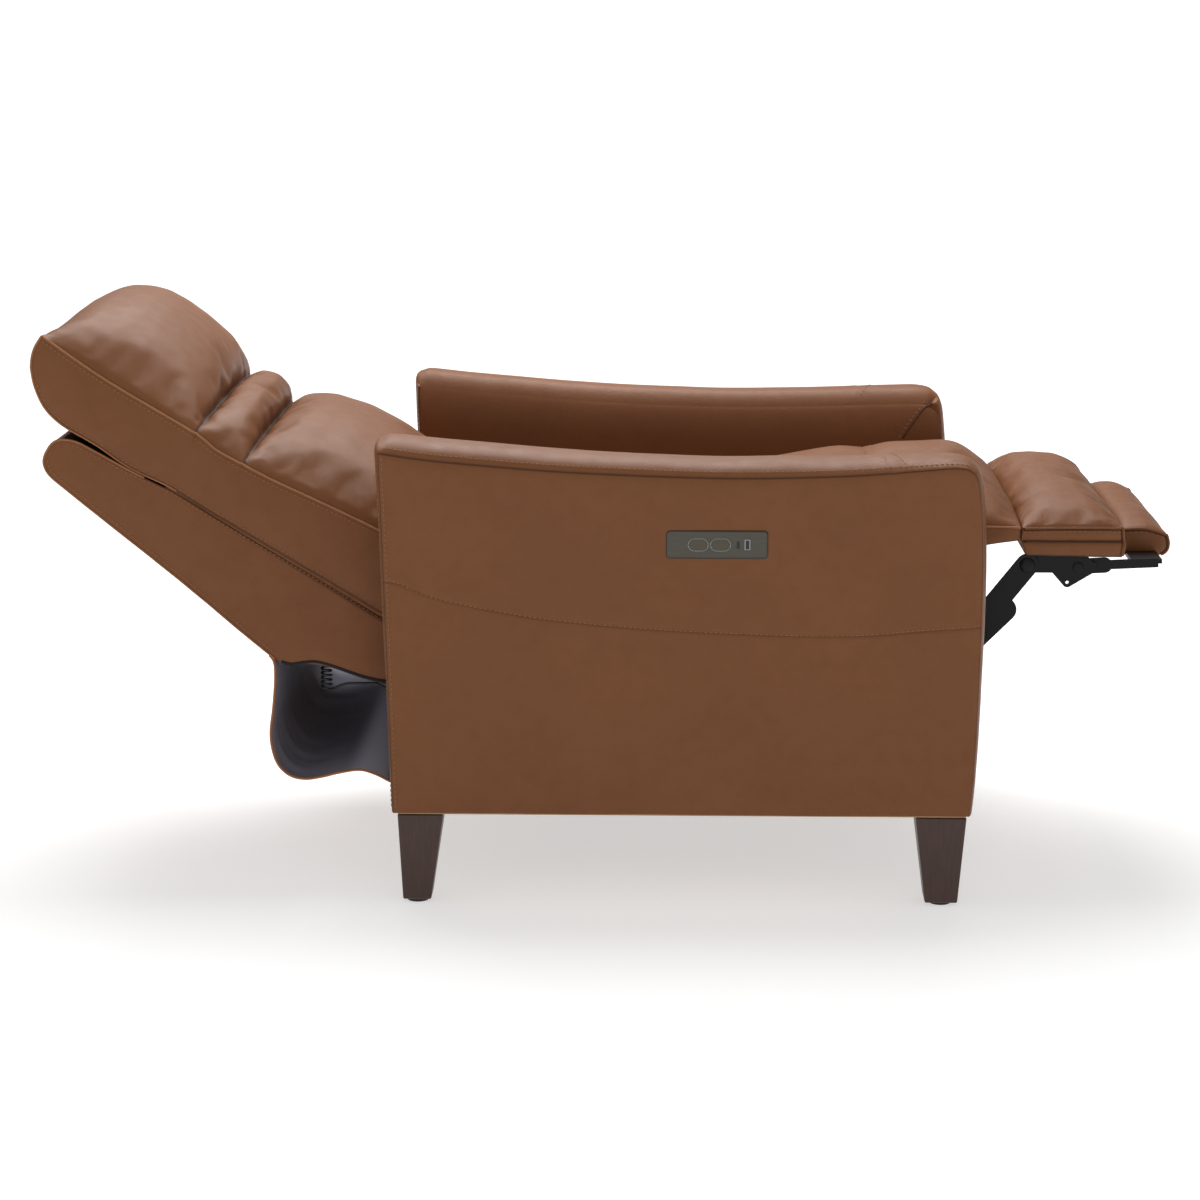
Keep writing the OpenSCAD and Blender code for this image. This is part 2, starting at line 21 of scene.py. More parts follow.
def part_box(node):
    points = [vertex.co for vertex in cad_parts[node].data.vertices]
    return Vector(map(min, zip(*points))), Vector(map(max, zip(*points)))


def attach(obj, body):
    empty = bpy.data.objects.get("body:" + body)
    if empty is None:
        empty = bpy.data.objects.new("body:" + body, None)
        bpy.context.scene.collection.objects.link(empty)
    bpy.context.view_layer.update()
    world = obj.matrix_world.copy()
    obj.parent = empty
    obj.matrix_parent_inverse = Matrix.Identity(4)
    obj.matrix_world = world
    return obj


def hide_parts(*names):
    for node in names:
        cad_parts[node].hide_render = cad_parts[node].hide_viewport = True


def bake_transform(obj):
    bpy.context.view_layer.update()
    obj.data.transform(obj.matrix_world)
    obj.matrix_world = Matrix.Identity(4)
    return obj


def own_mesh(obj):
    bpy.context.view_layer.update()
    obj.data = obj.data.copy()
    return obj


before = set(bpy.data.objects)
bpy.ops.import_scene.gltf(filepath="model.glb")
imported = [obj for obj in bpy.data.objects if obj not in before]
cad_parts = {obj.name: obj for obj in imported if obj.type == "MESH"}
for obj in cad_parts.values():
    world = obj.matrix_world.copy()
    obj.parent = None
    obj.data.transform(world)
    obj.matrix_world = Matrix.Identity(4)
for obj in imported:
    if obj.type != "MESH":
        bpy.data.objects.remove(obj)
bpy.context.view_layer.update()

# %% Millimetres of the side view, turned into metres of the frame
MM = 0.001
ARM_FRONT = 429
DATUM_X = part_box("arm_cover_right")[1].x - ARM_FRONT * MM


def at(x, y, z):
    """A point of the side view, y to the sitter's left, as metres of the frame."""
    return Vector((DATUM_X + x * MM, y * MM, z * MM))


print("datum line at x =", round(DATUM_X, 4))

# %% [markdown]
# ## Camera, floor and light
# The camera stands a little above the seat, square to the chair's right side, and far
# away with a long lens, so that the side view is nearly flat. The light is a studio's:
# one broad lamp overhead that gives every crown its pale sheen, a weaker one beside
# the camera, and white walls all round.

# %% Camera
camera = bpy.data.objects.new("camera", bpy.data.cameras.new("camera"))
bpy.context.scene.collection.objects.link(camera)
camera.location = (0.1021, -4.595, 1.3369)
camera.rotation_euler = (math.radians(78.034), 0, math.radians(1.446))
camera.data.lens = 93
camera.data.sensor_width = 36
bpy.context.scene.camera = camera
bpy.context.scene.view_settings.view_transform = "Standard"
print("camera at", tuple(round(c, 3) for c in camera.location))

# %% Lamps
def lamp(name, place, aim, size, power):
    """A square soft box that shines from place towards aim."""
    light = bpy.data.lights.new(name, "AREA")
    light.shape = "SQUARE"
    light.size = size
    light.energy = power
    made = bpy.data.objects.new(name, light)
    bpy.context.scene.collection.objects.link(made)
    made.location = place
    made.rotation_euler = (Vector(aim) - Vector(place)).to_track_quat("-Z", "Y").to_euler()
    return made


lamp("overhead_lamp", (-0.2, 1.1, 2.9), (0, 0, 0.5), 2.4, 118)
lamp("side_lamp", (0.6, -3.6, 2.2), (0, 0, 0.4), 2.2, 9)
WALLS_SEEN = 1.0
WALLS_LIGHT = 0.36


def studio_walls():
    """White walls that look fully white but light the chair only softly."""
    world = bpy.data.worlds.new("studio")
    world.use_nodes = True
    bpy.context.scene.world = world
    tree = world.node_tree
    seen = tree.nodes.new("ShaderNodeLightPath")
    strength = tree.nodes.new("ShaderNodeMapRange")
    strength.inputs["To Min"].default_value = WALLS_LIGHT
    strength.inputs["To Max"].default_value = WALLS_SEEN
    tree.links.new(seen.outputs["Is Camera Ray"], strength.inputs["Value"])
    tree.links.new(strength.outputs["Result"], tree.nodes["Background"].inputs["Strength"])
    tree.nodes["Background"].inputs["Color"].default_value = (1, 1, 1, 1)


studio_walls()

# %% [markdown]
# ## Finishes
# A finish is a small network: object coordinates feed noises, the noises colour and
# roughen the surface, and a bump makes the grain. Object coordinates are right here
# because every piece sits at the origin, so the grain runs on from piece to piece at
# one true scale. What several finishes share is a node group; the shader itself stays
# in the material.

# %% Helpers for node networks
def add_node(tree, kind, links=(), **values):
    """A node with its properties and inputs set; links are (input, output socket)."""
    made = tree.nodes.new(kind)
    for key, value in values.items():
        if key in made.inputs:
            made.inputs[key].default_value = value
        else:
            setattr(made, key, value)
    for key, source in links:
        tree.links.new(source, made.inputs[key])
    return made


def new_group(name, inputs, outputs):
    """A shader node group with named sockets, and its input and output nodes."""
    group = bpy.data.node_groups.new(name, "ShaderNodeTree")
    for key, (kind, value) in inputs.items():
        socket = group.interface.new_socket(key, in_out="INPUT", socket_type=kind)
        socket.default_value = value
    for key, kind in outputs.items():
        group.interface.new_socket(key, in_out="OUTPUT", socket_type=kind)
    return group, group.nodes.new("NodeGroupInput"), group.nodes.new("NodeGroupOutput")


def linear(red, green, blue):
    """A colour given as 0-255 on a screen, as the linear numbers a shader wants."""
    return tuple(((c / 255 + 0.055) / 1.055) ** 2.4 for c in (red, green, blue)) + (1,)


# %% Node group: leather grain
def leather_group():
    """Mottled dye, pebbled grain, and painted shade darkening the seams and creases."""
    colour, number = "NodeSocketColor", "NodeSocketFloat"
    group, given, out = new_group(
        "leather_grain",
        {"Dye": (colour, linear(150, 95, 58)), "Pale": (colour, linear(175, 122, 84)),
         "Deep": (colour, linear(96, 56, 32)), "Pebbles": (number, 620.0),
         "Seam": (number, 0.0)},
        {"Color": colour, "Roughness": number, "Height": number})
    place = add_node(group, "ShaderNodeTexCoord").outputs["Object"]
    cloud = add_node(group, "ShaderNodeTexNoise", [("Vector", place)],
                     Scale=5.0, Detail=3.0, Roughness=0.55)
    patch = add_node(group, "ShaderNodeTexNoise", [("Vector", place)],
                     Scale=38.0, Detail=4.0, Roughness=0.6)
    fine = add_node(group, "ShaderNodeTexNoise", [("Vector", place)],
                    Scale=900.0, Detail=2.0, Roughness=0.5)
    cloud_share = add_node(group, "ShaderNodeMapRange", [("Value", cloud.outputs["Fac"])],
                           **{"From Min": 0.35, "From Max": 0.7, "To Min": 0.0, "To Max": 0.42})
    patch_share = add_node(group, "ShaderNodeMapRange", [("Value", patch.outputs["Fac"])],
                           **{"From Min": 0.45, "From Max": 0.8, "To Min": 0.0, "To Max": 0.3})
    paler = add_node(group, "ShaderNodeMix",
                     [(6, given.outputs["Dye"]), (7, given.outputs["Pale"]),
                      (0, cloud_share.outputs["Result"])], data_type="RGBA")
    deeper = add_node(group, "ShaderNodeMix",
                      [(6, paler.outputs[2]), (7, given.outputs["Deep"]),
                       (0, patch_share.outputs["Result"])], data_type="RGBA")
    # Painted shade: the seam mask darkens the colour towards a deep brown along seams and creases.
    seam_shade_share = add_node(group, "ShaderNodeMath", [(0, given.outputs["Seam"])],
                     operation="MULTIPLY")
    seam_shade_share.inputs[1].default_value = 0.85
    seam_shaded = add_node(group, "ShaderNodeMix",
                      [(6, deeper.outputs[2]), (0, seam_shade_share.outputs["Value"])], data_type="RGBA")
    seam_shaded.inputs[7].default_value = linear(44, 24, 14)
    pebble = add_node(group, "ShaderNodeTexVoronoi",
                      [("Vector", place), ("Scale", given.outputs["Pebbles"])],
                      feature="DISTANCE_TO_EDGE")
    pebble_high = add_node(group, "ShaderNodeMapRange", [("Value", pebble.outputs["Distance"])],
                           **{"From Min": 0.0, "From Max": 0.22, "To Min": 0.0, "To Max": 1.0})
    crumpled = add_node(group, "ShaderNodeMath", [(0, patch.outputs["Fac"])],
                        operation="MULTIPLY")
    crumpled.inputs[1].default_value = 2.2
    first = add_node(group, "ShaderNodeMath",
                     [(0, pebble_high.outputs["Result"]), (1, crumpled.outputs["Value"])],
                     operation="ADD")
    height = add_node(group, "ShaderNodeMath",
                      [(0, first.outputs["Value"]), (1, fine.outputs["Fac"])], operation="ADD")
    rough = add_node(group, "ShaderNodeMapRange", [("Value", patch.outputs["Fac"])],
                     **{"From Min": 0.3, "From Max": 0.75, "To Min": 0.40, "To Max": 0.54})
    group.links.new(seam_shaded.outputs[2], out.inputs["Color"])
    group.links.new(rough.outputs["Result"], out.inputs["Roughness"])
    group.links.new(height.outputs["Value"], out.inputs["Height"])
    return group


leather_grain = leather_group()
print("group:", leather_grain.name)

# %% Materials made from a group or from their own noises
def blank(name):
    """A new material, its tree and its shader."""
    made = bpy.data.materials.new(name)
    made.use_nodes = True
    return made, made.node_tree, made.node_tree.nodes["Principled BSDF"]


def bump(tree, shader, height, strength, distance):
    """Feeds a height into the shader's normal."""
    made = add_node(tree, "ShaderNodeBump", [("Height", height)],
                    Strength=strength, Distance=distance)
    tree.links.new(made.outputs["Normal"], shader.inputs["Normal"])


def leather(name, dye, pale, deep, strength=0.5):
    """A leather from the shared grain, with painted shade where the piece's seam attribute is high."""
    made, tree, shader = blank(name)
    seam = add_node(tree, "ShaderNodeAttribute", attribute_name="seam")
    grain = add_node(tree, "ShaderNodeGroup", node_tree=leather_grain)
    grain.inputs["Dye"].default_value = dye
    grain.inputs["Pale"].default_value = pale
    grain.inputs["Deep"].default_value = deep
    tree.links.new(seam.outputs["Fac"], grain.inputs["Seam"])
    tree.links.new(grain.outputs["Color"], shader.inputs["Base Color"])
    tree.links.new(grain.outputs["Roughness"], shader.inputs["Roughness"])
    shader.inputs["Specular IOR Level"].default_value = 0.25
    bump(tree, shader, grain.outputs["Height"], strength, 0.00025)
    return made


def speckled(name, first, second, scale, rough, metal=0.0, strength=0.2, depth=0.0003,
             stretch=(1, 1, 1)):
    """A painted, moulded, woven or sawn finish: two colours mixed by one noise."""
    made, tree, shader = blank(name)
    place = add_node(tree, "ShaderNodeTexCoord").outputs["Object"]
    turned = add_node(tree, "ShaderNodeMapping", [("Vector", place)])
    turned.inputs["Scale"].default_value = stretch
    specks = add_node(tree, "ShaderNodeTexNoise", [("Vector", turned.outputs["Vector"])],
                      Scale=scale, Detail=4.0, Roughness=0.6)
    mixed = add_node(tree, "ShaderNodeMix", [(0, specks.outputs["Fac"])], data_type="RGBA")
    mixed.inputs[6].default_value = first
    mixed.inputs[7].default_value = second
    roughness = add_node(tree, "ShaderNodeMapRange", [("Value", specks.outputs["Fac"])],
                         **{"To Min": rough[0], "To Max": rough[1]})
    tree.links.new(mixed.outputs[2], shader.inputs["Base Color"])
    tree.links.new(roughness.outputs["Result"], shader.inputs["Roughness"])
    shader.inputs["Metallic"].default_value = metal
    bump(tree, shader, specks.outputs["Fac"], strength, depth)
    return made


tan_leather = leather("tan_leather", linear(118, 72, 39), linear(130, 81, 45),
                      linear(106, 63, 33))
# Paler than the tan leather: a painted highlight along the crests of the raised welts and hems.
welt_highlight_leather = leather("welt_highlight_leather", linear(150, 98, 60), linear(164, 112, 74),
                       linear(122, 74, 44), strength=0.25)
# Near-black brown for thin tubes laid in seams: painted shade lines.
seam_shade_leather = leather("seam_shade_leather", linear(66, 38, 22), linear(78, 46, 28),
                       linear(52, 30, 18), strength=0.2)
thread = speckled("tan_thread", linear(166, 118, 74), linear(128, 84, 50), 1800, (0.6, 0.75))
lining = speckled("grey_lining", linear(158, 158, 174), linear(128, 128, 142), 700, (0.85, 0.95),
                  strength=0.35)
black_cloth = speckled("black_cloth", linear(20, 20, 22), linear(38, 36, 38), 900, (0.9, 0.98),
                       strength=0.4)
powder_coat = speckled("powder_coat_black", linear(9, 9, 10), linear(17, 17, 18), 1400,
                       (0.34, 0.5), strength=0.25)
powder_coat.node_tree.nodes["Principled BSDF"].inputs["Specular IOR Level"].default_value = 0.2
zinc = speckled("zinc_plate", linear(150, 152, 156), linear(112, 114, 118), 120, (0.28, 0.42),
                metal=1.0, strength=0.05)
spring_wire = speckled("spring_wire", linear(96, 96, 100), linear(62, 62, 66), 300, (0.3, 0.45),
                       metal=1.0, strength=0.05)
aluminium = speckled("drawn_aluminium", linear(150, 152, 156), linear(172, 174, 178), 60,
                     (0.3, 0.42), metal=1.0, strength=0.08, stretch=(0.05, 1, 1))
black_plastic = speckled("moulded_black", linear(20, 20, 22), linear(30, 30, 32), 2400,
                         (0.38, 0.5), strength=0.15, depth=0.0002)
gunmetal = speckled("gunmetal", linear(80, 76, 66), linear(68, 64, 56), 500, (0.36, 0.44),
                    metal=0.3, strength=0.05, stretch=(0.06, 1, 1))
button_paint = speckled("button_paint", linear(82, 74, 58), linear(74, 66, 51), 420, (0.4, 0.5),
                        metal=0.3, strength=0.05)
bright_rim = speckled("bright_rim", linear(150, 162, 162), linear(128, 138, 140), 300,
                      (0.2, 0.28), metal=0.8, strength=0.03)
timber = speckled("frame_timber", linear(196, 160, 112), linear(166, 128, 84), 34, (0.6, 0.75),
                  strength=0.3, stretch=(1, 8, 8))
walnut = speckled("leg_walnut", linear(74, 44, 34), linear(46, 26, 20), 46, (0.34, 0.46),
                  strength=0.25, stretch=(7, 7, 0.55))
print("materials:", len(bpy.data.materials))

# %% [markdown]
# ## The headrest motor's lead
# A curly black lead hangs out of the back's underside and runs forward to the motor.
# It is a free cord, so it comes first. A curly
# lead is a helix, which a formula gives better than any hand-placed points; the
# straight stretch after it sags between its two ends. It is a mesh tube and not a
# curve, and it rides on no body, as it runs between the back and the base.

# %% Tubes along a path
def finish_mesh(name, vertices, faces, material, smooth=True):
    """A new object from points in metres, with its faces turned outwards."""
    mesh = bpy.data.meshes.new(name)
    mesh.from_pydata([tuple(v) for v in vertices], [], faces)
    work = bmesh.new()
    work.from_mesh(mesh)
    bmesh.ops.recalc_face_normals(work, faces=work.faces)
    work.to_mesh(mesh)
    work.free()
    mesh.polygons.foreach_set("use_smooth", [smooth] * len(mesh.polygons))
    mesh.materials.append(material)
    made = bpy.data.objects.new(name, mesh)
    bpy.context.scene.collection.objects.link(made)
    return made


def tube(name, path, radius, material, sides=8):
    """A round tube with closed ends that follows a path of points in metres."""
    path = [Vector(p) for p in path]
    ahead = [(path[min(i + 1, len(path) - 1)] - path[max(i - 1, 0)]).normalized()
             for i in range(len(path))]
    across = ahead[0].orthogonal().normalized()
    rings = []
    for point, forward in zip(path, ahead):
        across = (across - forward * across.dot(forward)).normalized()
        up = forward.cross(across)
        rings.append([point + radius * (math.cos(a) * across + math.sin(a) * up)
                      for a in (2 * math.pi * k / sides for k in range(sides))])
    vertices = [p for ring in rings for p in ring] + [path[0], path[-1]]
    faces = []
    for i in range(len(path) - 1):
        for k in range(sides):
            a, b = i * sides + k, i * sides + (k + 1) % sides
            faces.append((a, b, b + sides, a + sides))
    last = (len(path) - 1) * sides
    for k in range(sides):
        faces.append((k, (k + 1) % sides, len(vertices) - 2))
        faces.append((last + k, last + (k + 1) % sides, len(vertices) - 1))
    return finish_mesh(name, vertices, faces, material)


# %% The curly lead
LEAD_Y = -250
LEAD_TOP = (-504.5, 323)
COIL_RADIUS = 6.9
COIL_TURNS = 6
COIL_DROP = 40
LEAD_WIRE = 3.8
LEAD_RUN = [(-492, 284), (-484, 288), (-475, 290.5), (-462, 291), (-446, 291), (-432, 291),
            (-419, 284), (-405, 272), (-392, 250)]


def lead_path():
    """Down out of the back in a helix, then forward to the motor."""
    turns = [i / 16 for i in range(16 * COIL_TURNS + 1)]
    path = [at(LEAD_TOP[0] + COIL_RADIUS * math.cos(2 * math.pi * t),
               LEAD_Y + COIL_RADIUS * math.sin(2 * math.pi * t),
               LEAD_TOP[1] - COIL_DROP * t / COIL_TURNS) for t in turns]
    return path + [at(x, LEAD_Y, z) for x, z in LEAD_RUN]


lead_points = lead_path()
lead = tube("curly_lead", lead_points, LEAD_WIRE / 2 * MM, black_plastic, sides=8)
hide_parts("headrest_lead")
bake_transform(lead)

# %% [markdown]
# ## How the leather pieces are cut
# Each cushion has four lines in the side view: its face, its underside, and its two
# ends. A Coons patch fills the space between four lines, so those four say where every
# point of the side is. The width then carries the side view across the chair, and a
# crown lifts the face between the side seams. One closed grid of quads does all of it,
# with its rows drawn close together where a seam needs a sharp valley.

# %% A line of the side view
class Line:
    """A smooth line through a few [x, z] points, read by the share of its length."""

    def __init__(self, *points, steps=8):
        given = np.array(points, float)
        if len(given) > 2:
            dense = []
            for i in range(len(given) - 1):
                a, b = given[max(i - 1, 0)], given[i]
                c, d = given[i + 1], given[min(i + 2, len(given) - 1)]
                for t in (k / steps for k in range(steps)):
                    dense.append(0.5 * (2 * b + t * (c - a) + t * t * (2 * a - 5 * b + 4 * c - d)
                                        + t ** 3 * (3 * b - a - 3 * c + d)))
            given = np.array(dense + [given[-1]])
        self.points = given
        self.run = np.concatenate([[0], np.cumsum(np.linalg.norm(np.diff(given, axis=0), axis=1))])
        self.length = float(self.run[-1])

    def __call__(self, share):
        reach = min(max(share, 0.0), 1.0) * self.length
        return np.array([np.interp(reach, self.run, self.points[:, k]) for k in (0, 1)])

    def normal(self, share, span=0.02):
        """The direction a quarter turn left of the line: up, where the line runs forward."""
        d = self(min(share + span, 1.0)) - self(max(share - span, 0.0))
        return np.array([-d[1], d[0]]) / np.hypot(*d)


def stations(length, step, marks=(), near=(2.5, 7)):
    """Shares of a length: even steps, with extra rows close on both sides of each mark."""
    wanted = {round(m + s * d, 3) for m in marks for d in (0, *near) for s in (-1, 1)}
    wanted = {w for w in wanted if 0 <= w <= length} | {0.0, float(length)}
    count = max(2, round(length / step))
    for i in range(1, count):
        here = length * i / count
        if all(abs(here - w) > step * 0.45 for w in wanted):
            wanted.add(here)
    return [w / length for w in sorted(wanted)]


def across(count):
    """Shares from -1 to 1 across a width, closer together towards the sides."""
    return [math.sin(math.pi / 2 * (2 * i / count - 1)) for i in range(count + 1)]


# %% A closed grid of quads
def closed_grid(name, us, vs, ws, place, material, lined=None, inner=None):
    """The skin of a box of stations, each point put in place (x, y, z, seam) in mm."""
    ends = [len(us) - 1, len(vs) - 1, len(ws) - 1]
    number, points, seams = {}, [], []

    def corner(i, j, k):
        if (i, j, k) not in number:
            x, y, z, seam = place(us[i], vs[j], ws[k])
            number[i, j, k] = len(points)
            points.append(at(x, y, z))
            seams.append(seam)
        return number[i, j, k]

    faces, inside = [], []
    for axis in range(3):
        first, second = [a for a in range(3) if a != axis]
        for side in (0, ends[axis]):
            for a in range(ends[first]):
                for b in range(ends[second]):
                    loop = []
                    for da, db in ((0, 0), (1, 0), (1, 1), (0, 1)):
                        cell = [0, 0, 0]
                        cell[axis], cell[first], cell[second] = side, a + da, b + db
                        loop.append(corner(*cell))
                    faces.append(loop)
                    inside.append(bool(lined and lined(axis, side > 0)))
    made = finish_mesh(name, points, faces, material)
    attribute = made.data.attributes.new("seam", "FLOAT", "POINT")
    attribute.data.foreach_set("value", seams)
    if inner:
        made.data.materials.append(inner)
        made.data.polygons.foreach_set("material_index", [int(i) for i in inside])
    return made


def upholster(name, face, under, start, end, half, rows, crown, bulge=4.0, end_bulge=0.0,
              rises=(0, 0.08, 0.3, 0.55, 0.8, 0.93, 1), columns=44, seams=(), dip=None,
              material=tan_leather, **more):
    """A padded box: four Lines of the side view, half its width, and crown(s, v) in mm."""
    def side(u, w):
        ruled = (1 - w) * under(u) + w * face(u) + (1 - u) * start(w) + u * end(w)
        return ruled - ((1 - u) * (1 - w) * under(0) + u * (1 - w) * under(1)
                        + (1 - u) * w * face(0) + u * w * face(1))

    def place(u, v, w):
        point = side(u, w) + face.normal(u) * crown(u * face.length, v) * w
        if u in (0, 1) and end_bulge:
            along = face(min(u + 0.03, 1)) - face(max(u - 0.03, 0))
            swell = end_bulge * (1 if u else -1) * (1 - v ** 4) * math.sin(math.pi * w)
            point = point + along / np.hypot(*along) * swell
        ease = min(1, 12 * u, 12 * (1 - u))
        y = v * half
        if abs(v) == 1:
            swell = math.sin(math.pi * w) ** 0.5 if 0 < w < 1 else 0.0
            y += v * (bulge * swell * ease + (dip(u, w) if dip else 0))
        at_edge = abs(v) == 1 and w in (0, 1)
        on_seam = any(abs(u * face.length - s) < 1.0 for s in seams) and w == 1
        near = any(abs(u * face.length - s) < 3.2 for s in seams) and w == 1
        return (point[0], y, point[1], 1.0 if at_edge or on_seam else 0.35 if near else 0.0)

    return closed_grid(name, rows, across(columns), rises, place, material, **more)


def dome(v, power=2.5, root=0.6):
    """How full a cushion is across its width: 1 in the middle, 0 at the side seams."""
    return max(0.0, 1 - abs(v) ** power) ** root


def profile(*pairs):
    """A crown's height along the cushion, through (distance, height) pairs."""
    where, height = zip(*pairs)
    return lambda s: float(np.interp(s, where, height))


# %% Softness
def soften(obj, size, depth, seed, fine=0.3):
    """Moves every point a little along its normal, as stuffing does under leather."""
    mesh = obj.data
    normals = [v.normal.copy() for v in mesh.vertices]
    for vertex, normal in zip(mesh.vertices, normals):
        spot = vertex.co / (size * MM) + Vector((seed, 3.1 * seed, -seed))
        lift = noise.noise(spot) + fine * noise.noise(spot * 2.7)
        vertex.co += normal * lift * depth * MM


def subdivide(obj, levels=1):
    """A live subdivision, equal in the view and in the render."""
    smooth = obj.modifiers.new("smooth", "SUBSURF")
    smooth.levels = smooth.render_levels = levels
    return obj


# %% [markdown]
# Stuffing presses leather out between its seams and wrinkles it where the seams hold
# it short. A cloth simulation finds that shape: the seams are pinned, the leather is
# cut a little larger than the space, and pressure fills it. Movement is capped so that
# the piece keeps its drawn size. The simulated points are read back into the mesh, and
# no cloth modifier is left.

# %% Stuffing by cloth simulation
def stuff(obj, held, pressure=2.0, spare=0.02, cap=12, frames=20):
    """Puffs obj between the points that held(x, y, z in mm, seam) says are pinned."""
    scene = bpy.context.scene
    rest = np.array([v.co for v in obj.data.vertices])
    seam = np.zeros(len(rest))
    obj.data.attributes["seam"].data.foreach_get("value", seam)
    shape = (rest - np.array((DATUM_X, 0, 0))) / MM
    pinned = [i for i, (p, s) in enumerate(zip(shape, seam)) if held(p[0], p[1], p[2], s)]
    group = obj.vertex_groups.new(name="held")
    group.add(pinned, 1.0, "REPLACE")
    cloth = obj.modifiers.new("stuffing", "CLOTH")
    cloth.settings.quality = 6
    cloth.settings.mass = 0.35
    cloth.settings.tension_stiffness = 22
    cloth.settings.compression_stiffness = 22
    cloth.settings.shear_stiffness = 10
    cloth.settings.bending_stiffness = 1.2
    cloth.settings.use_pressure = True
    cloth.settings.uniform_pressure_force = pressure
    cloth.settings.shrink_min = -spare
    cloth.settings.effector_weights.gravity = 0
    cloth.settings.vertex_group_mass = "held"
    cloth.collision_settings.use_collision = False
    cloth.point_cache.frame_start = 1
    cloth.point_cache.frame_end = frames
    for number in range(1, frames + 1):
        scene.frame_set(number)
    done = obj.evaluated_get(bpy.context.evaluated_depsgraph_get())
    moved = np.array([v.co for v in done.data.vertices]) - rest
    far = np.linalg.norm(moved, axis=1, keepdims=True)
    moved *= np.minimum(1, cap * MM / np.maximum(far, 1e-9))
    obj.modifiers.remove(cloth)
    obj.vertex_groups.remove(group)
    obj.data.vertices.foreach_set("co", (rest + moved).ravel())
    obj.data.update()
    scene.frame_set(1)
    print(obj.name, "stuffed: moved up to", round(float(far.max()) / MM, 1), "mm")


# %% [markdown]
# ## Stitches and welts
# A seam shows three things: the valley in the leather, a welt where the edge is rolled
# over a cord, and a row of stitches beside it. Welts are thin tubes laid on the
# surface. Stitches repeat along a path, so Geometry Nodes make them: each path becomes
# a curve, is cut at the stitch pitch, and carries one small capsule at each cut.

# %% Rows on a surface
stitch_rows = {}


def surface_of(obj):
    """A finder of nearest points on the piece as it is finally shaped."""
    bpy.context.view_layer.update()
    return BVHTree.FromObject(obj, bpy.context.evaluated_depsgraph_get())


def lay_on(surface, points, lift):
    """The points moved to the surface, and lift millimetres out of it."""
    laid = []
    for point in points:
        spot, normal, _, _ = surface.find_nearest(point)
        laid.append(spot + normal * lift * MM)
    return laid


def sew(group, surface, points, lift=0.35):
    """Adds a row of stitches along the points to the named group of rows."""
    stitch_rows.setdefault(group, []).append(lay_on(surface, points, lift))


def edge_run(line, y, shift, first=0.0, last=1.0, count=60):
    """Points along a Line, moved shift mm to its left, at one y."""
    run = []
    for i in range(count + 1):
        share = first + (last - first) * i / count
        point = line(share) + line.normal(share) * shift
        run.append(at(point[0], y, point[1]))
    return run


# %% Geometry Nodes tree for stitches
def stitch_tree():
    """Path edges in, capsules along them out."""
    tree = bpy.data.node_groups.new("stitches", "GeometryNodeTree")
    tree.interface.new_socket("Path", in_out="INPUT", socket_type="NodeSocketGeometry")
    for key in ("Pitch", "Length", "Thickness"):
        tree.interface.new_socket(key, in_out="INPUT", socket_type="NodeSocketFloat")
    tree.interface.new_socket("Thread", in_out="INPUT", socket_type="NodeSocketMaterial")
    tree.interface.new_socket("Stitches", in_out="OUTPUT", socket_type="NodeSocketGeometry")
    given, out = tree.nodes.new("NodeGroupInput"), tree.nodes.new("NodeGroupOutput")
    curve = add_node(tree, "GeometryNodeMeshToCurve", [("Mesh", given.outputs["Path"])])
    cut = add_node(tree, "GeometryNodeResampleCurve",
                   [("Curve", curve.outputs["Curve"]), ("Length", given.outputs["Pitch"])],
                   mode="LENGTH")
    capsule = add_node(tree, "GeometryNodeMeshUVSphere", Segments=6, Rings=4, Radius=0.5)
    size = add_node(tree, "ShaderNodeCombineXYZ",
                    [("X", given.outputs["Thickness"]), ("Y", given.outputs["Thickness"]),
                     ("Z", given.outputs["Length"])])
    along = add_node(tree, "GeometryNodeInputTangent")
    turn = add_node(tree, "FunctionNodeAlignRotationToVector",
                    [("Vector", along.outputs["Tangent"])], axis="Z")
    placed = add_node(tree, "GeometryNodeInstanceOnPoints",
                      [("Points", cut.outputs["Curve"]), ("Instance", capsule.outputs["Mesh"]),
                       ("Rotation", turn.outputs["Rotation"]), ("Scale", size.outputs["Vector"])])
    real = add_node(tree, "GeometryNodeRealizeInstances",
                    [("Geometry", placed.outputs["Instances"])])
    dressed = add_node(tree, "GeometryNodeSetMaterial",
                       [("Geometry", real.outputs["Geometry"]),
                        ("Material", given.outputs["Thread"])])
    tree.links.new(dressed.outputs["Geometry"], out.inputs["Stitches"])
    return tree


STITCH_PITCH = 7.0
STITCH_LENGTH = 5.0
STITCH_THICKNESS = 1.3


def run_nodes(name, tree, mesh, values):
    """The tree's result on a mesh, as a plain mesh object with nothing live on it."""
    source = bpy.data.objects.new(name + "_source", mesh)
    bpy.context.scene.collection.objects.link(source)
    modifier = source.modifiers.new(tree.name, "NODES")
    modifier.node_group = tree
    for item in tree.interface.items_tree:
        if item.item_type == "SOCKET" and item.name in values:
            modifier[item.identifier] = values[item.name]
    graph = bpy.context.evaluated_depsgraph_get()
    made = bpy.data.objects.new(
        name, bpy.data.meshes.new_from_object(source.evaluated_get(graph), depsgraph=graph))
    bpy.context.scene.collection.objects.link(made)
    bpy.data.objects.remove(source)
    made.data.name = name
    return made


stitches = stitch_tree()


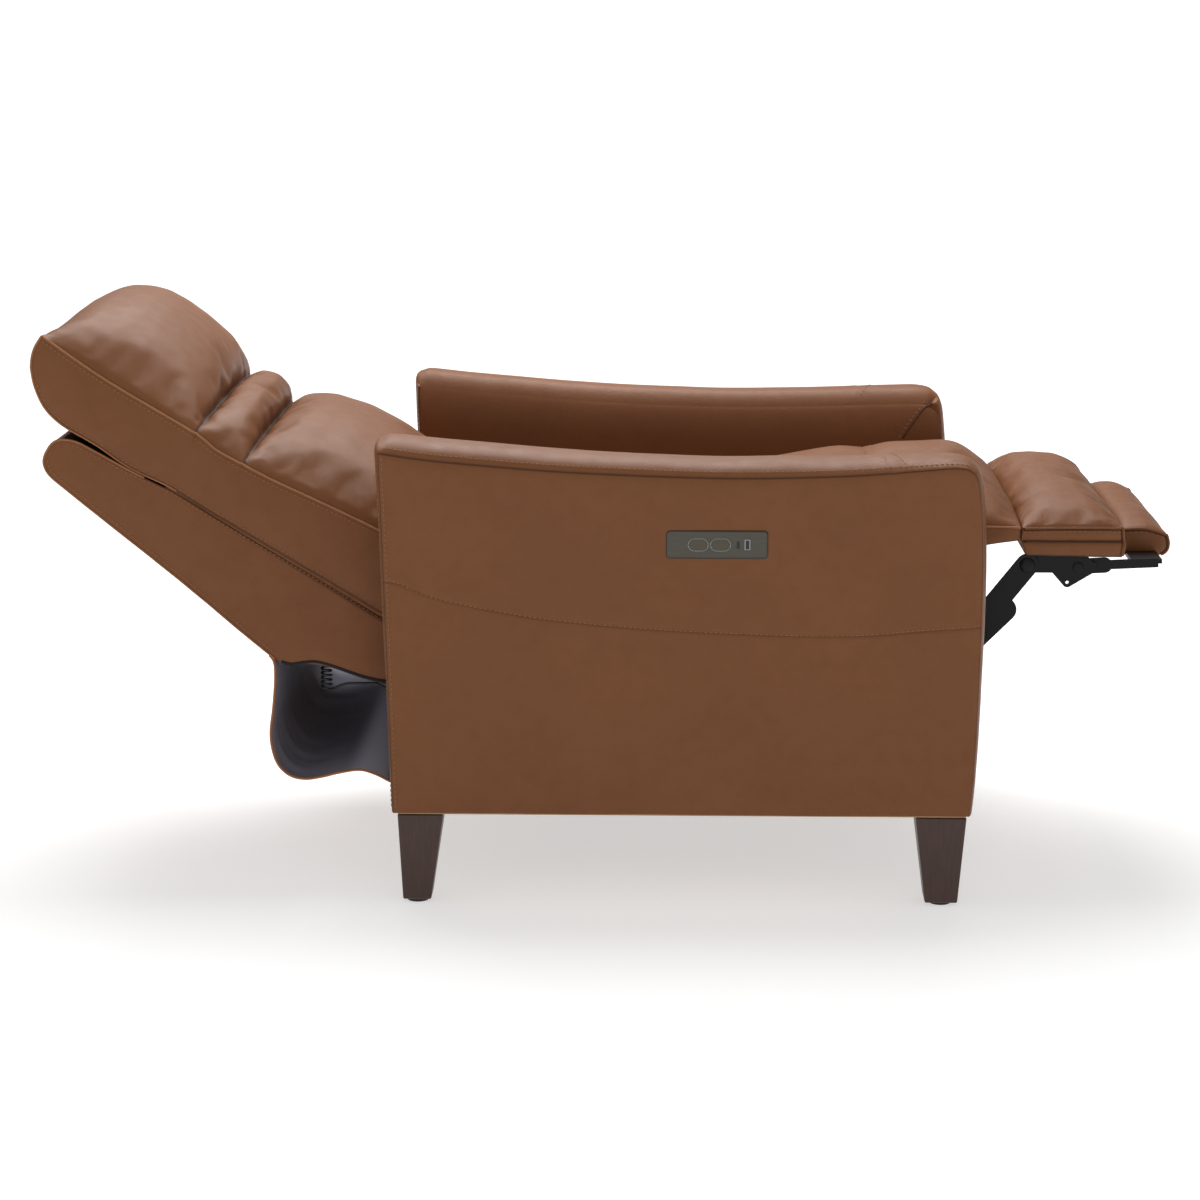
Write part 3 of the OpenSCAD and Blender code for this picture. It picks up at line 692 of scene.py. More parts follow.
def sew_rows(group, name):
    """All the rows of one group as one mesh of stitches."""
    points, edges = [], []
    for row in stitch_rows[group]:
        edges += [(len(points) + i, len(points) + i + 1) for i in range(len(row) - 1)]
        points += row
    mesh = bpy.data.meshes.new(name + "_path")
    mesh.from_pydata([tuple(p) for p in points], edges, [])
    made = run_nodes(name, stitches, mesh,
                     {"Pitch": STITCH_PITCH * MM, "Length": STITCH_LENGTH * MM,
                      "Thickness": STITCH_THICKNESS * MM, "Thread": thread})
    made.data.polygons.foreach_set("use_smooth", [True] * len(made.data.polygons))
    print(name, "has", len(made.data.polygons) // 24, "stitches")
    return made

# %% [markdown]
# ## Arms
# An arm is a timber box in foam and leather: a flat panel on each side, and a bulging
# band that runs up the rear, over the top and down the front. The four lines are the
# seam between panel and band; the band's bulge is an offset outwards that is nothing
# at both seams. A second seam curves along the outer panel, so one row of the grid is
# bent to follow it and pressed in.

# %% Arm lines
ARM_INNER = 285
ARM_OUTER = 395
ARM_MIDDLE = (ARM_INNER + ARM_OUTER) / 2
ARM_HALF = (ARM_OUTER - ARM_INNER) / 2 - 1.5
ARM_FOOT = 138
arm_top = Line((-412, 650), (-366, 643), (-312, 637), (-175, 626), (-37, 619.5), (100, 617),
               (237, 621), (330, 628), (378, 632.5), (396, 632), (407, 625))
arm_front = Line((411, ARM_FOOT), (415, 192), (419, 307), (421, 449), (420, 548), (415.5, 600),
                 (413, 615), (407, 625))
arm_rear = Line((-398, ARM_FOOT), (-404, 380), (-412, 650))
arm_under = Line((-398, ARM_FOOT), (411, ARM_FOOT))
arm_curve = Line((-405, 476), (-342, 448), (-245, 427), (-162, 415), (-37, 404), (116, 397),
                 (241, 396), (337, 404), (418, 410))
band_top = profile((0, 15), (10, 21), (50, 23), (150, 23.5), (240, 22.5), (380, 21.5),
                   (560, 21), (700, 17.5), (780, 12), (815, 10), (830, 9))
band_front = profile((0, 7), (300, 9), (440, 9), (475, 10), (500, 11))
BAND_REAR = 8
CROSS_SEAM = 700
SEAM_SHARE = 0.52
ROLL_ACROSS = 40
ROLL_DOWN = 80


def bent_row(w, share_of_curve):
    """Shares below and above the curved seam, so that one row lies on it."""
    if w <= SEAM_SHARE:
        return w / SEAM_SHARE * share_of_curve
    return share_of_curve + (w - SEAM_SHARE) / (1 - SEAM_SHARE) * (1 - share_of_curve)


def roll_down(turn):
    """Drop below the crown and inset from the inner face, at a turn of the roll in degrees."""
    turn = math.radians(turn)
    return ROLL_DOWN * (1 - math.sin(turn)), ROLL_ACROSS * (1 - math.cos(turn))


# %% One arm
def arm_place(side):
    """The place function of the arm on one side: -1 right, 1 left."""
    def place(u, v, w):
        top, under = arm_top(u), arm_under(u)
        curve_z = float(np.interp(top[0], arm_curve.points[:, 0], arm_curve.points[:, 1]))
        low = (curve_z - under[1]) / (top[1] - under[1])
        w2 = bent_row(w, min(max(low, 0.35), 0.65))
        rear, front = arm_rear(w2), arm_front(w2)
        point = ((1 - w2) * under + w2 * top + (1 - u) * rear + u * front
                 - ((1 - u) * (1 - w2) * under_ends[0] + u * (1 - w2) * under_ends[1]
                    + (1 - u) * w2 * arm_top(0) + u * w2 * arm_top(1)))
        full = dome(v, 3.0, 0.62)
        crown = band_top(u * arm_top.length)
        from_inner = (1 + v * side) * ARM_HALF
        below = (1 - w2) * 500
        drop, inset = 0.0, 0.0
        if w == 1 and from_inner < ROLL_ACROSS:
            drop, inset = roll_down(45 + 45 * from_inner / ROLL_ACROSS)
            inset -= from_inner
        elif w < 1 and below < ROLL_DOWN - crown:
            drop, inset = roll_down(45 - 45 * below / (ROLL_DOWN - crown))
            inset *= max(0, 1 - from_inner / ARM_HALF)
        if w == 1:
            outward = arm_top.normal(u, 0.012)
            if u == 0:
                outward = np.array((-0.5, 0.86))
            if u == 1:
                outward = np.array((0.72, 0.69))
            point = point + outward * (crown * (full if v * side > 0 else 1.0) - drop)
            if abs(u * arm_top.length - CROSS_SEAM - 10 * v * side) < 1.5:
                point = point - outward * 1.2
        elif u == 0:
            point = point + np.array((-BAND_REAR * full * (0.4 + 0.6 * w2), 0))
        elif u == 1:
            outward = -arm_front.normal(w2, 0.012)
            point = point + outward * band_front(w2 * arm_front.length) * full
        if v == -side and drop > 0 and w < 1:
            point = point + np.array((0, crown - drop + below))
        y = v * ARM_HALF + side * inset
        seam = 0.0
        if abs(v) == 1:
            edge = min(u * 830, 60 * w2 + 4)
            if v == side:
                edge = min(edge, (1 - u) * 830, (1 - w2) * 500)
            else:
                edge = min(edge, (1 - u) * 140, (1 - w2) * 80)
            y += v * 3.0 * (1 - math.exp(-edge / 7))
            if v == side:
                off = abs(w - SEAM_SHARE)
                y -= v * (1.5 if off < 0.001 else 0.25 if off < 0.007 else 0)
                seam = 0.4 if off < 0.001 else 0.0
        if w > 0 and ((v == side and (w == 1 or u in (0, 1))) or (v == -side and u == 0)):
            seam = 1.0
        return (point[0], side * ARM_MIDDLE + y, point[1], seam)

    return place


under_ends = (arm_under(0), arm_under(1))
for side, name in ((-1, "right"), (1, "left")):
    rows = stations(arm_top.length, 13, marks=(0, CROSS_SEAM, arm_top.length), near=(1.5, 5, 11))
    rises = stations(500, 14, marks=(0, 500 * SEAM_SHARE, 500), near=(1.5, 5))
    arm = closed_grid("arm_" + name, rows, across(18), rises, arm_place(side), tan_leather)
    soften(arm, 120, 1.0, seed=2 + side)
    subdivide(arm)
    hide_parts("arm_cover_" + name)
    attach(arm, "base")
    skin = surface_of(arm)
    outer, inner = side * (ARM_OUTER - 1), side * (ARM_INNER + 1)
    sew("base", skin, edge_run(arm_top, outer - 5 * side, 9, 0.01, 0.985, 140), 0.3)
    for face_y, step in ((outer, -side), (inner, side)):
        sew("base", skin, edge_run(arm_rear, face_y + 4.5 * step, 8, 0.02, 0.97, 80), 0.3)
    sew("base", skin, edge_run(arm_rear, outer + side, -5, 0.02, 0.985, 80), 0.3)
    sew("base", skin, edge_run(arm_curve, outer + 2 * side, 2.2, 0.008, 0.992, 140), 0.3)
    cross = [at(292 + 2 * k, side * (ARM_INNER + 4 + 10.2 * k), 660) for k in range(11)]
    sew("base", skin, cross, 0.3)
    # A dark tube in the slanting seam on the inner face: a painted shade line.
    slant = [at(399 - 41 * k / 12, side * (ARM_INNER - 4), 632 - 64 * k / 12) for k in range(13)]
    welt = tube("arm_slant_shade_line_" + name, lay_on(skin, slant, 0.1), 1.1 * MM, seam_shade_leather)
    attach(welt, "base")
    sew("base", skin, [p + Vector((-0.005, 0, 0.003)) for p in slant], 0.3)
    print(arm.name, "has", len(arm.data.polygons), "quads before smoothing")

# %% [markdown]
# ## Back cushion
# One leather casing holds the head pillow, the lumbar roll and the lower pad. Two
# deep creases part them, where the leather is pulled down and sewn through. The head
# turns on its hinge at the upper crease, so the casing is one mesh across that hinge,
# with no break in it, and it rides on no single body.

# %% Back cushion lines
BACK_HALF = 277
back_seam = Line((-894, 797), (-841, 759), (-788, 724), (-682, 660), (-652, 636), (-615, 615),
                 (-573, 593), (-513, 565), (-438, 529), (-353, 484))
casing_rear = Line((-911, 752), (-907, 726), (-898, 701), (-885, 683), (-864, 666), (-821, 641),
                   (-779, 611), (-728, 586), (-714, 578), (-674, 553), (-635, 529), (-555, 481),
                   (-496, 445.5), (-434, 408), (-398, 388), (-376, 396))
casing_top = Line((-911, 752), (-909, 768), (-904, 782), (-894, 797))
casing_foot = Line((-376, 396), (-366, 440), (-353, 484))
CREASES = (254, 335)
back_crown = profile((0, 0), (6, 14), (15, 31), (34, 58), (60, 76), (87, 87), (120, 89), (155, 85),
                     (185, 78), (212, 70), (234, 61), (246, 54), (251, 44), (254, 32), (257, 42),
                     (262, 52), (272, 61), (290, 66), (308, 65), (322, 59), (331, 50),
                     (335, 34), (339, 48), (346, 58), (360, 67), (380, 76), (405, 82), (453, 88),
                     (505, 86), (560, 82), (590, 70), (612, 47), (622, 26), (627, 8))


def back_height(s, v):
    """The crown with its creases, which run shallower near the side seams."""
    height = back_crown(s)
    for crease in CREASES:
        height -= 9 * math.exp(-((s - crease) / 5.0) ** 2) * (1 - abs(v) ** 6)
    return height * dome(v)


def side_seam_dip(u, w):
    """The short seam that runs into the casing's side from each crease."""
    s = u * back_seam.length
    return -sum(2.5 * math.exp(-((s - c) / 4.0) ** 2) * max(0, w - 0.8) * 5 for c in CREASES)


back = upholster(
    "back_cushion", back_seam, casing_rear, casing_top, casing_foot, BACK_HALF,
    stations(back_seam.length, 9, marks=CREASES, near=(2.5, 5, 9, 14)), back_height,
    bulge=3.5, end_bulge=3, rises=(0, 0.05, 0.16, 0.3, 0.45, 0.6, 0.75, 0.88, 0.95, 0.98, 1),
    columns=52, seams=CREASES, dip=side_seam_dip)
soften(back, 95, 1.5, seed=5)
soften(back, 26, 0.7, seed=8)
stuff(back, lambda x, y, z, seam: seam > 0.9 or abs(y) > 270 or x > -365, pressure=1.2,
      spare=0.012, cap=9)
subdivide(back)
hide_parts("head_core", "head_pillow", "back_core", "back_pad", "lumbar_roll")
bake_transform(back)
back_skin = surface_of(back)
for side in (-1, 1):
    y = side * (BACK_HALF + 1)
    welt = tube("back_welt_" + ("right" if side < 0 else "left"),
                lay_on(back_skin, edge_run(back_seam, y, 0, 0.0, 0.985, 150), 0.3),
                1.7 * MM, welt_highlight_leather)
    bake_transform(welt)
    sew("back_head", back_skin, edge_run(back_seam, y + 4 * side, -6, 0.01, 0.985, 150))
    sew("back_head", back_skin, edge_run(casing_rear, y + 4 * side, 5, 0.04, 0.93, 120))
    rear_welt = tube("head_welt_" + ("right" if side < 0 else "left"),
                     lay_on(back_skin, [*edge_run(casing_rear, y, 0, 0.42, 0.0, 60)[:-1],
                                        *edge_run(casing_top, y, 0, 0.0, 1.0, 12)], 0.3),
                     1.6 * MM, welt_highlight_leather)
    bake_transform(rear_welt)
print(back.name, "has", len(back.data.polygons), "quads before smoothing")

# %% [markdown]
# ## Outer shell of the back
# The shell is a leather case over the timber back frame. It is open where the cushion
# lies in it, and its mouth and its arched underside are lined in dark cloth. The
# headrest swings away from its top end.

# %% Shell
shell_mouth = Line((-872, 650), (-858, 649), (-843, 644), (-811, 627), (-779, 610), (-728, 586),
                   (-714, 579.5), (-674, 555), (-635, 531), (-555, 483), (-496, 447.5),
                   (-434, 410), (-398, 389))
shell_rear = Line((-893, 633), (-899, 618), (-893, 602), (-880, 589), (-830, 548), (-727, 462),
                  (-640, 388), (-571, 330))
shell_top = Line((-893, 633), (-888, 641), (-881, 647), (-872, 650))
shell_foot = Line((-571, 330), (-553, 324), (-533, 327), (-515, 328), (-492, 322), (-462, 311),
                  (-439, 304), (-405, 299), (-399, 330), (-398, 380))
SHELL_HALF = 279


def shell_under(s, v):
    """The mouth is hollow, so its lining lies below the edge."""
    return -16 * (1 - v ** 30) * min(1, s / 30)


shell = upholster(
    "back_shell_cover", shell_mouth, shell_rear, shell_top, shell_foot, SHELL_HALF,
    stations(shell_mouth.length, 11), shell_under, bulge=2.5, end_bulge=0,
    rises=(0, 0.03, 0.1, 0.22, 0.35, 0.5, 0.65, 0.8, 0.92, 0.97, 1), columns=40,
    lined=lambda axis, far: (axis == 2 and far) or (axis == 0 and far), inner=black_cloth)
for face in shell.data.polygons:
    if abs(face.center.y) > 0.268:
        face.material_index = 0
soften(shell, 110, 1.3, seed=11)
subdivide(shell)
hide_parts("back_shell")
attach(shell, "back")
shell_skin = surface_of(shell)
for side in (-1, 1):
    y = side * (SHELL_HALF + 0.5)
    edge = [*edge_run(shell_rear, y, 0, 0.99, 0.0, 90)[:-1], *edge_run(shell_top, y, 0, 0, 1, 8)[:-1],
            *edge_run(shell_mouth, y, 0, 0.0, 0.24, 24)]
    welt = tube("shell_welt_" + ("right" if side < 0 else "left"),
                lay_on(shell_skin, edge, 0.2), 1.6 * MM, welt_highlight_leather)
    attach(welt, "back")
    sew("back", shell_skin, edge_run(shell_mouth, y + 3 * side, -6, 0.02, 0.97, 120))
    sew("back", shell_skin, edge_run(shell_rear, y + 3 * side, 7, 0.03, 0.98, 90))
    join = tube("shell_join_" + ("right" if side < 0 else "left"),
                edge_run(shell_mouth, side * (SHELL_HALF - 6.2), -4, 0.3, 0.99, 70),
                5.6 * MM, tan_leather)
    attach(join, "back")
    lip = tube("shell_lip_" + ("right" if side < 0 else "left"),
               edge_run(shell_foot, side * (SHELL_HALF - 1), 1.5, 0.02, 0.7, 50),
               3.0 * MM, black_cloth)
    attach(lip, "back")
print(shell.name, "has", len(shell.data.polygons), "quads before smoothing")

# %% [markdown]
# ## Seat
# The seat cushion slopes up towards the knees. Its front section is sewn to it across
# the seat and reaches to the footrest; when the footrest folds away that section is
# squeezed back, so it is a piece of its own, with a mesh of its own.

# %% Seat cushion
SEAT_HALF = 275
seat_seam = Line((-257, 426), (0, 471), (296, 524))
seat_under = Line((-250, 386), (300, 483))
seat_rear = Line((-250, 386), (-261, 400), (-257, 426))
seat_front = Line((300, 483), (296, 524))
seat_crown = profile((0, 2), (8, 12), (25, 17), (60, 19), (110, 26), (170, 38), (240, 54),
                     (311, 61), (500, 62), (540, 61), (555, 60), (559, 59), (561, 57))
seat = upholster(
    "seat_cushion_cover", seat_seam, seat_under, seat_rear, seat_front, SEAT_HALF,
    stations(seat_seam.length, 13, marks=(seat_seam.length,), near=(3, 8)),
    lambda s, v: seat_crown(s) * dome(v, 2.6, 0.55), bulge=2, end_bulge=2, columns=40)
soften(seat, 120, 2.0, seed=17)
stuff(seat, lambda x, y, z, seam: seam > 0.9 or abs(y) > 270 or x > 285 or x < -245,
      pressure=1.0, spare=0.01, cap=8)
subdivide(seat)
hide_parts("seat_cushion")
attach(seat, "seat")
seat_skin = surface_of(seat)
join_row = [at(291 - 7 * dome(k / 20), k / 20 * (SEAT_HALF - 6), 532 + 50 * dome(k / 20, 2.6, 0.55))
            for k in range(-20, 21)]
sew("seat", seat_skin, join_row)

# %% Tail of leather under the back
tail_line = Line((-252, 418), (-285, 404), (-318, 388), (-346, 366))


def tail_place(u, v, w):
    """A padded strip, 7 mm thick, that follows the tail line."""
    point = tail_line(u) + tail_line.normal(u) * (7 * w - 11)
    return (point[0], v * 256, point[1], 0.0)


tail = closed_grid("seat_tail", stations(tail_line.length, 10), across(16), (0, 0.5, 1),
                   tail_place, tan_leather)
soften(tail, 60, 1.5, seed=19)
subdivide(tail)
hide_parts("seat_apron")
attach(tail, "seat")

# %% Front section of the seat
front_seam = Line((286, 523), (360, 528), (430, 530), (485.5, 529))
front_under = Line((290, 482), (484, 510))
front_rear = Line((290, 482), (286, 523))
front_nose = Line((484, 510), (485.5, 529))
front_crown = profile((0, 54), (5, 58), (14, 60), (52, 60), (122, 59), (150, 56), (168, 49),
                      (180, 39), (190, 27), (197, 17), (200, 10))
front = upholster(
    "seat_front_section", front_seam, front_under, front_rear, front_nose, SEAT_HALF,
    stations(front_seam.length, 9, marks=(0, front_seam.length), near=(3, 8)),
    lambda s, v: front_crown(s) * dome(v, 2.6, 0.55), bulge=2, columns=40)
soften(front, 90, 1.8, seed=23)
soften(front, 30, 0.5, seed=24)
stuff(front, lambda x, y, z, seam: seam > 0.9 or abs(y) > 270 or x < 306 or x > 480,
      pressure=1.0, spare=0.012, cap=6)
subdivide(front)
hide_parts("chaise_pad", "chaise_bridge")
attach(front, "seat")
front_skin = surface_of(front)
sew("front", front_skin, [p + Vector((0.013, 0, 0)) for p in join_row])
front_pieces = [front]
for side in (-1, 1):
    y = side * (SEAT_HALF + 0.5)
    welt = tube("seat_front_welt_" + ("right" if side < 0 else "left"),
                lay_on(front_skin, edge_run(front_seam, y, 0, 0.0, 1.0, 50), 0.2),
                1.6 * MM, welt_highlight_leather)
    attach(welt, "seat")
    front_pieces.append(welt)
    sew("front", front_skin, edge_run(front_nose, y, 0, 0.05, 0.95, 6))
print("seat:", len(seat.data.polygons) + len(front.data.polygons), "quads before smoothing")

# %% [markdown]
# ## Footrest and its extension
# The footrest pad has a boxed side in two layers, with a seam between them. Dark
# tubes paint the shade in that seam and under the top welt. The narrower extension
# flips out in front of it on steel arms.

# %% Footrest pad
REST_HALF = 271
rest_seam = Line((489, 527), (560, 528), (630, 528))
rest_under = Line((496, 488), (630, 486))
rest_rear = Line((496, 488), (488.5, 507), (489, 527))
rest_front = Line((630, 486), (633, 507), (630, 528))
rest_crown = profile((0, 9), (3, 17), (9, 25), (22, 31), (60, 34), (100, 31), (120, 26),
                     (132, 18), (138, 10), (141, 3))
LAYER_SEAM = 0.56


def layer_dip(u, w):
    """The two layers of the side bulge apart at the seam between them."""
    return -3.2 * math.exp(-((w - LAYER_SEAM) / 0.07) ** 2) + (1.5 if w < LAYER_SEAM else 0)


rest = upholster(
    "footrest_pad_cover", rest_seam, rest_under, rest_rear, rest_front, REST_HALF,
    stations(rest_seam.length, 7.5, marks=(0, rest_seam.length), near=(2.5, 6)),
    lambda s, v: rest_crown(s) * dome(v, 3.4, 0.5), bulge=1.8, end_bulge=2.5,
    rises=(0, 0.08, 0.25, 0.42, 0.5, LAYER_SEAM, 0.62, 0.75, 0.9, 0.97, 1), columns=56,
    dip=layer_dip)
soften(rest, 70, 1.5, seed=29)
soften(rest, 22, 0.6, seed=31)
stuff(rest, lambda x, y, z, seam: seam > 0.9 or z < 529 or abs(y) > 268, pressure=1.0,
      spare=0.012, cap=6)
subdivide(rest)
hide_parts("footrest_pad")
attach(rest, "footrest")
rest_skin = surface_of(rest)
for side in (-1, 1):
    y = side * (REST_HALF + 0.5)
    rim = [*edge_run(rest_seam, y, 0, 0.01, 1.0, 40), *edge_run(rest_front, y, 0, 0.98, 0.05, 12)]
    under_rim = [*edge_run(rest_seam, y + side, -3, 0.01, 1.0, 40),
                 *edge_run(rest_front, y + side, 3, 0.98, 0.05, 12)]
    middle = edge_run(Line((490, 508.5), (632, 508)), y, 0, 0, 1, 30)
    # The line and middle tubes are dark leather: painted shade under the top welt and in the seam between
    # the layers.
    for part, path, radius, hide in (("welt", lay_on(rest_skin, rim, 0.6), 1.9, tan_leather),
                                     ("line", lay_on(rest_skin, under_rim, 0), 0.9, seam_shade_leather),
                                     ("middle", lay_on(rest_skin, middle, 0), 1.5, seam_shade_leather)):
        welt = tube("footrest_" + part + ("_right" if side < 0 else "_left"), path, radius * MM,
                    hide)
        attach(welt, "footrest")
    sew("footrest", rest_skin, edge_run(rest_seam, y + 2 * side, -5, 0.02, 0.97, 40))
print(rest.name, "has", len(rest.data.polygons), "quads before smoothing")

# %% Extension pad
EXT_HALF = 190
ext_seam = Line((641, 511), (675, 512), (705.5, 503))
ext_under = Line((642, 474), (698, 474))
ext_rear = Line((642, 474), (640, 492), (641, 511))
ext_front = Line((698, 474), (706, 480), (708.5, 491), (705.5, 503))
ext_crown = profile((0, 3), (4, 8), (14, 11), (34, 11), (50, 8), (60, 4), (66, 1))
extension = upholster(
    "extension_pad_cover", ext_seam, ext_under, ext_rear, ext_front, EXT_HALF,
    stations(ext_seam.length, 5.5), lambda s, v: ext_crown(s) * dome(v, 5, 0.5),
    bulge=2.5, end_bulge=1.5, columns=44, rises=(0, 0.1, 0.28, 0.5, 0.72, 0.9, 0.97, 1))
soften(extension, 55, 1.2, seed=37)
soften(extension, 20, 0.4, seed=38)
subdivide(extension)
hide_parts("extension_pad")
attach(extension, "extension")
ext_skin = surface_of(extension)
for side in (-1, 1):
    y = side * (EXT_HALF + 0.5)
    rim = [*edge_run(ext_seam, y, 0, 0.03, 1.0, 20), *edge_run(ext_front, y, 0, 0.95, 0.0, 12)]
    under_rim = [*edge_run(ext_seam, y + side, -3, 0.03, 1.0, 20),
                 *edge_run(ext_front, y + side, 3, 0.95, 0.0, 12)]
    # The line tube is dark leather: painted shade under the top welt.
    for part, path, radius, hide in (("welt", lay_on(ext_skin, rim, 0.5), 1.8, tan_leather),
                                     ("line", lay_on(ext_skin, under_rim, 0), 0.9, seam_shade_leather)):
        welt = tube("extension_" + part + ("_right" if side < 0 else "_left"), path, radius * MM,
                    hide)
        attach(welt, "extension")
    sew("extension", ext_skin, edge_run(ext_seam, y + side, -4.5, 0.05, 0.92, 20))
print(extension.name, "has", len(extension.data.polygons), "quads before smoothing")

# %% [markdown]
# ## Rear flap
# A sheet of leather with a grey lining closes the back of the chair. It hangs from the
# shell's lower edge and is nailed to the rear rail, so that it folds in a loose bag
# when the chair reclines and is drawn up flat when it closes. It is one sheet that
# runs between the base and the back, and it rides on neither.

# %% Flap
FLAP_HALF = 277
FLAP_THICK = 2.4
FLAP_ASKEW = 48
flap_line = Line((-583, 338), (-576, 327), (-575, 300), (-578, 257), (-581, 228), (-579, 203), (-571, 178),
                 (-556, 162), (-535, 156), (-510, 159), (-485, 165), (-456, 169), (-434, 163),
                 (-416, 154), (-400, 146))


def flap_place(u, v, w):
    """The sheet, gathered in small puckers where it bends, and askew on its left side."""
    point = flap_line(u)
    bend = math.exp(-((u - 0.5) / 0.17) ** 2)
    wave = math.sin(v * 46 + 5 * u) * 0.8 + math.sin(v * 23 - 9 * u) * 1.6
    lift = bend * wave + 2.2 * math.sin(3.1 * v + 4 * u) * math.sin(math.pi * u)
    askew = min(1, max(0, (v + 0.5) / 1.5)) ** 2 * FLAP_ASKEW
    point = point + np.array((0, askew * math.sin(math.pi * u) ** 0.7))
    point = point + flap_line.normal(u) * (lift + FLAP_THICK * (w - 0.5))
    return (point[0], v * FLAP_HALF, point[1], 0.0)


flap = closed_grid("rear_flap_sheet", stations(flap_line.length, 8), across(96), (0, 1),
                   flap_place, tan_leather, lined=lambda axis, far: axis == 2 and far,
                   inner=lining)
subdivide(flap)
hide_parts("rear_flap")
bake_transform(flap)
flap_skin = surface_of(flap)
for side in (-1, 1):
    edge = [flap_place(k / 70, side, 0.5) for k in range(71)]
    hem = tube("flap_hem_" + ("right" if side < 0 else "left"),
               [at(x, y, z) for x, y, z, _ in edge], 2.1 * MM, welt_highlight_leather)
    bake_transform(hem)
    row = [flap_place(k / 70, side * (1 - 9 / FLAP_HALF), 0) for k in range(1, 70)]
    sew("flap", flap_skin, [at(x, y, z) for x, y, z, _ in row], 0.3)
print("flap line:", round(flap_line.length), "mm")

# %% [markdown]
# ## Legs and front rail
# The legs are turned-in tapers of stained walnut, sawn square with eased edges. A
# tapered box with a bevel is exactly that; the grain is stretched along the leg by the
# material. The front rail is a board wrapped in the same leather.

# %% Legs
LEG_INSET = 15
LEG_LEAN = 6
LEG_TOP_Z = 132.4
GLIDE_TOP = 5


def tapered_leg(name, x_top, top, x_foot, foot, side):
    """A square taper from the arm down to its glide, with eased edges."""
    out = side * (ARM_OUTER - LEG_INSET)
    foot_out = out - side * LEG_LEAN
    corners = []
    for x, width, y, z in ((x_top, top, out, LEG_TOP_Z), (x_foot, foot, foot_out, GLIDE_TOP)):
        corners += [at(x, y, z), at(x + width, y, z), at(x + width, y - side * width, z),
                    at(x, y - side * width, z)]
    faces = [(0, 1, 2, 3), (4, 5, 6, 7)] + [(k, (k + 1) % 4, (k + 1) % 4 + 4, k + 4)
                                            for k in range(4)]
    made = finish_mesh(name + "_wood", corners, faces, walnut, smooth=False)
    eased = made.modifiers.new("eased_edges", "BEVEL")
    eased.width = 2.5 * MM
    eased.segments = 3
    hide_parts(name)
    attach(made, "base")
    return made


for side, word in ((-1, "right"), (1, "left")):
    tapered_leg("leg_front_" + word, 338, 72, 354, 46, side)
    tapered_leg("leg_rear_" + word, -393, 65, -387, 40, side)

# %% Front rail in leather
rail_face = Line((371.5, 217), (417.5, 217))
rail_under = Line((371.5, 137), (417.5, 137))
rail_cover = upholster(
    "front_rail_leather", rail_face, rail_under, Line((371.5, 137), (371.5, 217)),
    Line((417.5, 137), (421, 177), (417.5, 217)), 284, (0, 0.12, 0.5, 0.88, 1),
    lambda s, v: 1.5 * (1 - v ** 8), bulge=0, columns=24)
subdivide(rail_cover)
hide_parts("front_rail_cover")
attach(rail_cover, "base")
print("legs and rail made")

# %% [markdown]
# ## Control plate
# The gunmetal plate, its housing and sockets are the CAD's own nodes, in better
# finishes. What the CAD leaves out is added: a black ring round the plate that paints
# the shade in the gap it sits in, and the bright rims round the two buttons.

# %% Plate details
PLATE_AT = (55.4, 525.5)
plate_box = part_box("control_plate")
PLATE_FACE_Y = plate_box[0].y / MM


def rounded_loop(centre, size, radius, y, steps=8):
    """Points round a rectangle with round corners, in the side view, at one y."""
    loop = []
    for quarter in range(4):
        sx, sz = ((1, 1), (-1, 1), (-1, -1), (1, -1))[quarter]
        for k in range(steps + 1):
            turn = math.pi / 2 * (quarter + k / steps)
            loop.append(at(centre[0] + sx * (size[0] / 2 - radius) + radius * math.cos(turn), y,
                           centre[1] + sz * (size[1] / 2 - radius) + radius * math.sin(turn)))
    return loop


def closed_tube(name, loop, radius, material, body):
    """A tube round a closed loop that rides on a body."""
    made = tube(name, [*loop, loop[0], loop[1]], radius * MM, material, sides=8)
    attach(made, body)
    return made


# A black ring round the plate: painted shade in the gap round its edge.
closed_tube("plate_shadow_gap", rounded_loop(PLATE_AT, (138.6, 37.6), 4.6, PLATE_FACE_Y + 1.2), 1.1,
            black_plastic, "base")
closed_tube("plate_edge", rounded_loop(PLATE_AT, (136.6, 35.6), 3.6, PLATE_FACE_Y + 0.3), 0.6,
            gunmetal, "base")
for node in ("recline_button", "headrest_button"):
    low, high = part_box(node)
    middle = ((low.x + high.x) / 2 - DATUM_X) / MM
    size = ((high.x - low.x) / MM + 1.8, (high.z - low.z) / MM + 1.8)
    closed_tube(node + "_rim", rounded_loop((middle, PLATE_AT[1]), size, size[1] / 2 - 0.01,
                                            PLATE_FACE_Y - 0.1), 0.6, bright_rim, "base")


def backing(name, node, size, depth, material):
    """A thin panel behind an opening of the plate, so that no padding shows in it."""
    low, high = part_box(node)
    x, z = ((low.x + high.x) / 2 - DATUM_X) / MM, PLATE_AT[1]
    corners = [at(x + sx * size[0] / 2, PLATE_FACE_Y + y, z + sz * size[1] / 2)
               for y in (depth, depth + 0.4) for sx, sz in ((-1, -1), (1, -1), (1, 1), (-1, 1))]
    faces = [(0, 1, 2, 3), (7, 6, 5, 4)] + [(k, k + 4, (k + 1) % 4 + 4, (k + 1) % 4)
                                            for k in range(4)]
    made = finish_mesh(name, corners, faces, material, smooth=False)
    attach(made, "base")


backing("recline_button_backing", "recline_button", (27, 16.6), 0.25, gunmetal)
backing("headrest_button_backing", "headrest_button", (27, 16.6), 0.25, gunmetal)
backing("usb_c_backing", "usb_c_port", (4.4, 10.6), 0.3, black_plastic)
backing("usb_a_backing", "usb_a_port", (4.9, 12.3), 0.3, black_plastic)
print("plate at", [round(c, 3) for c in plate_box[0]])
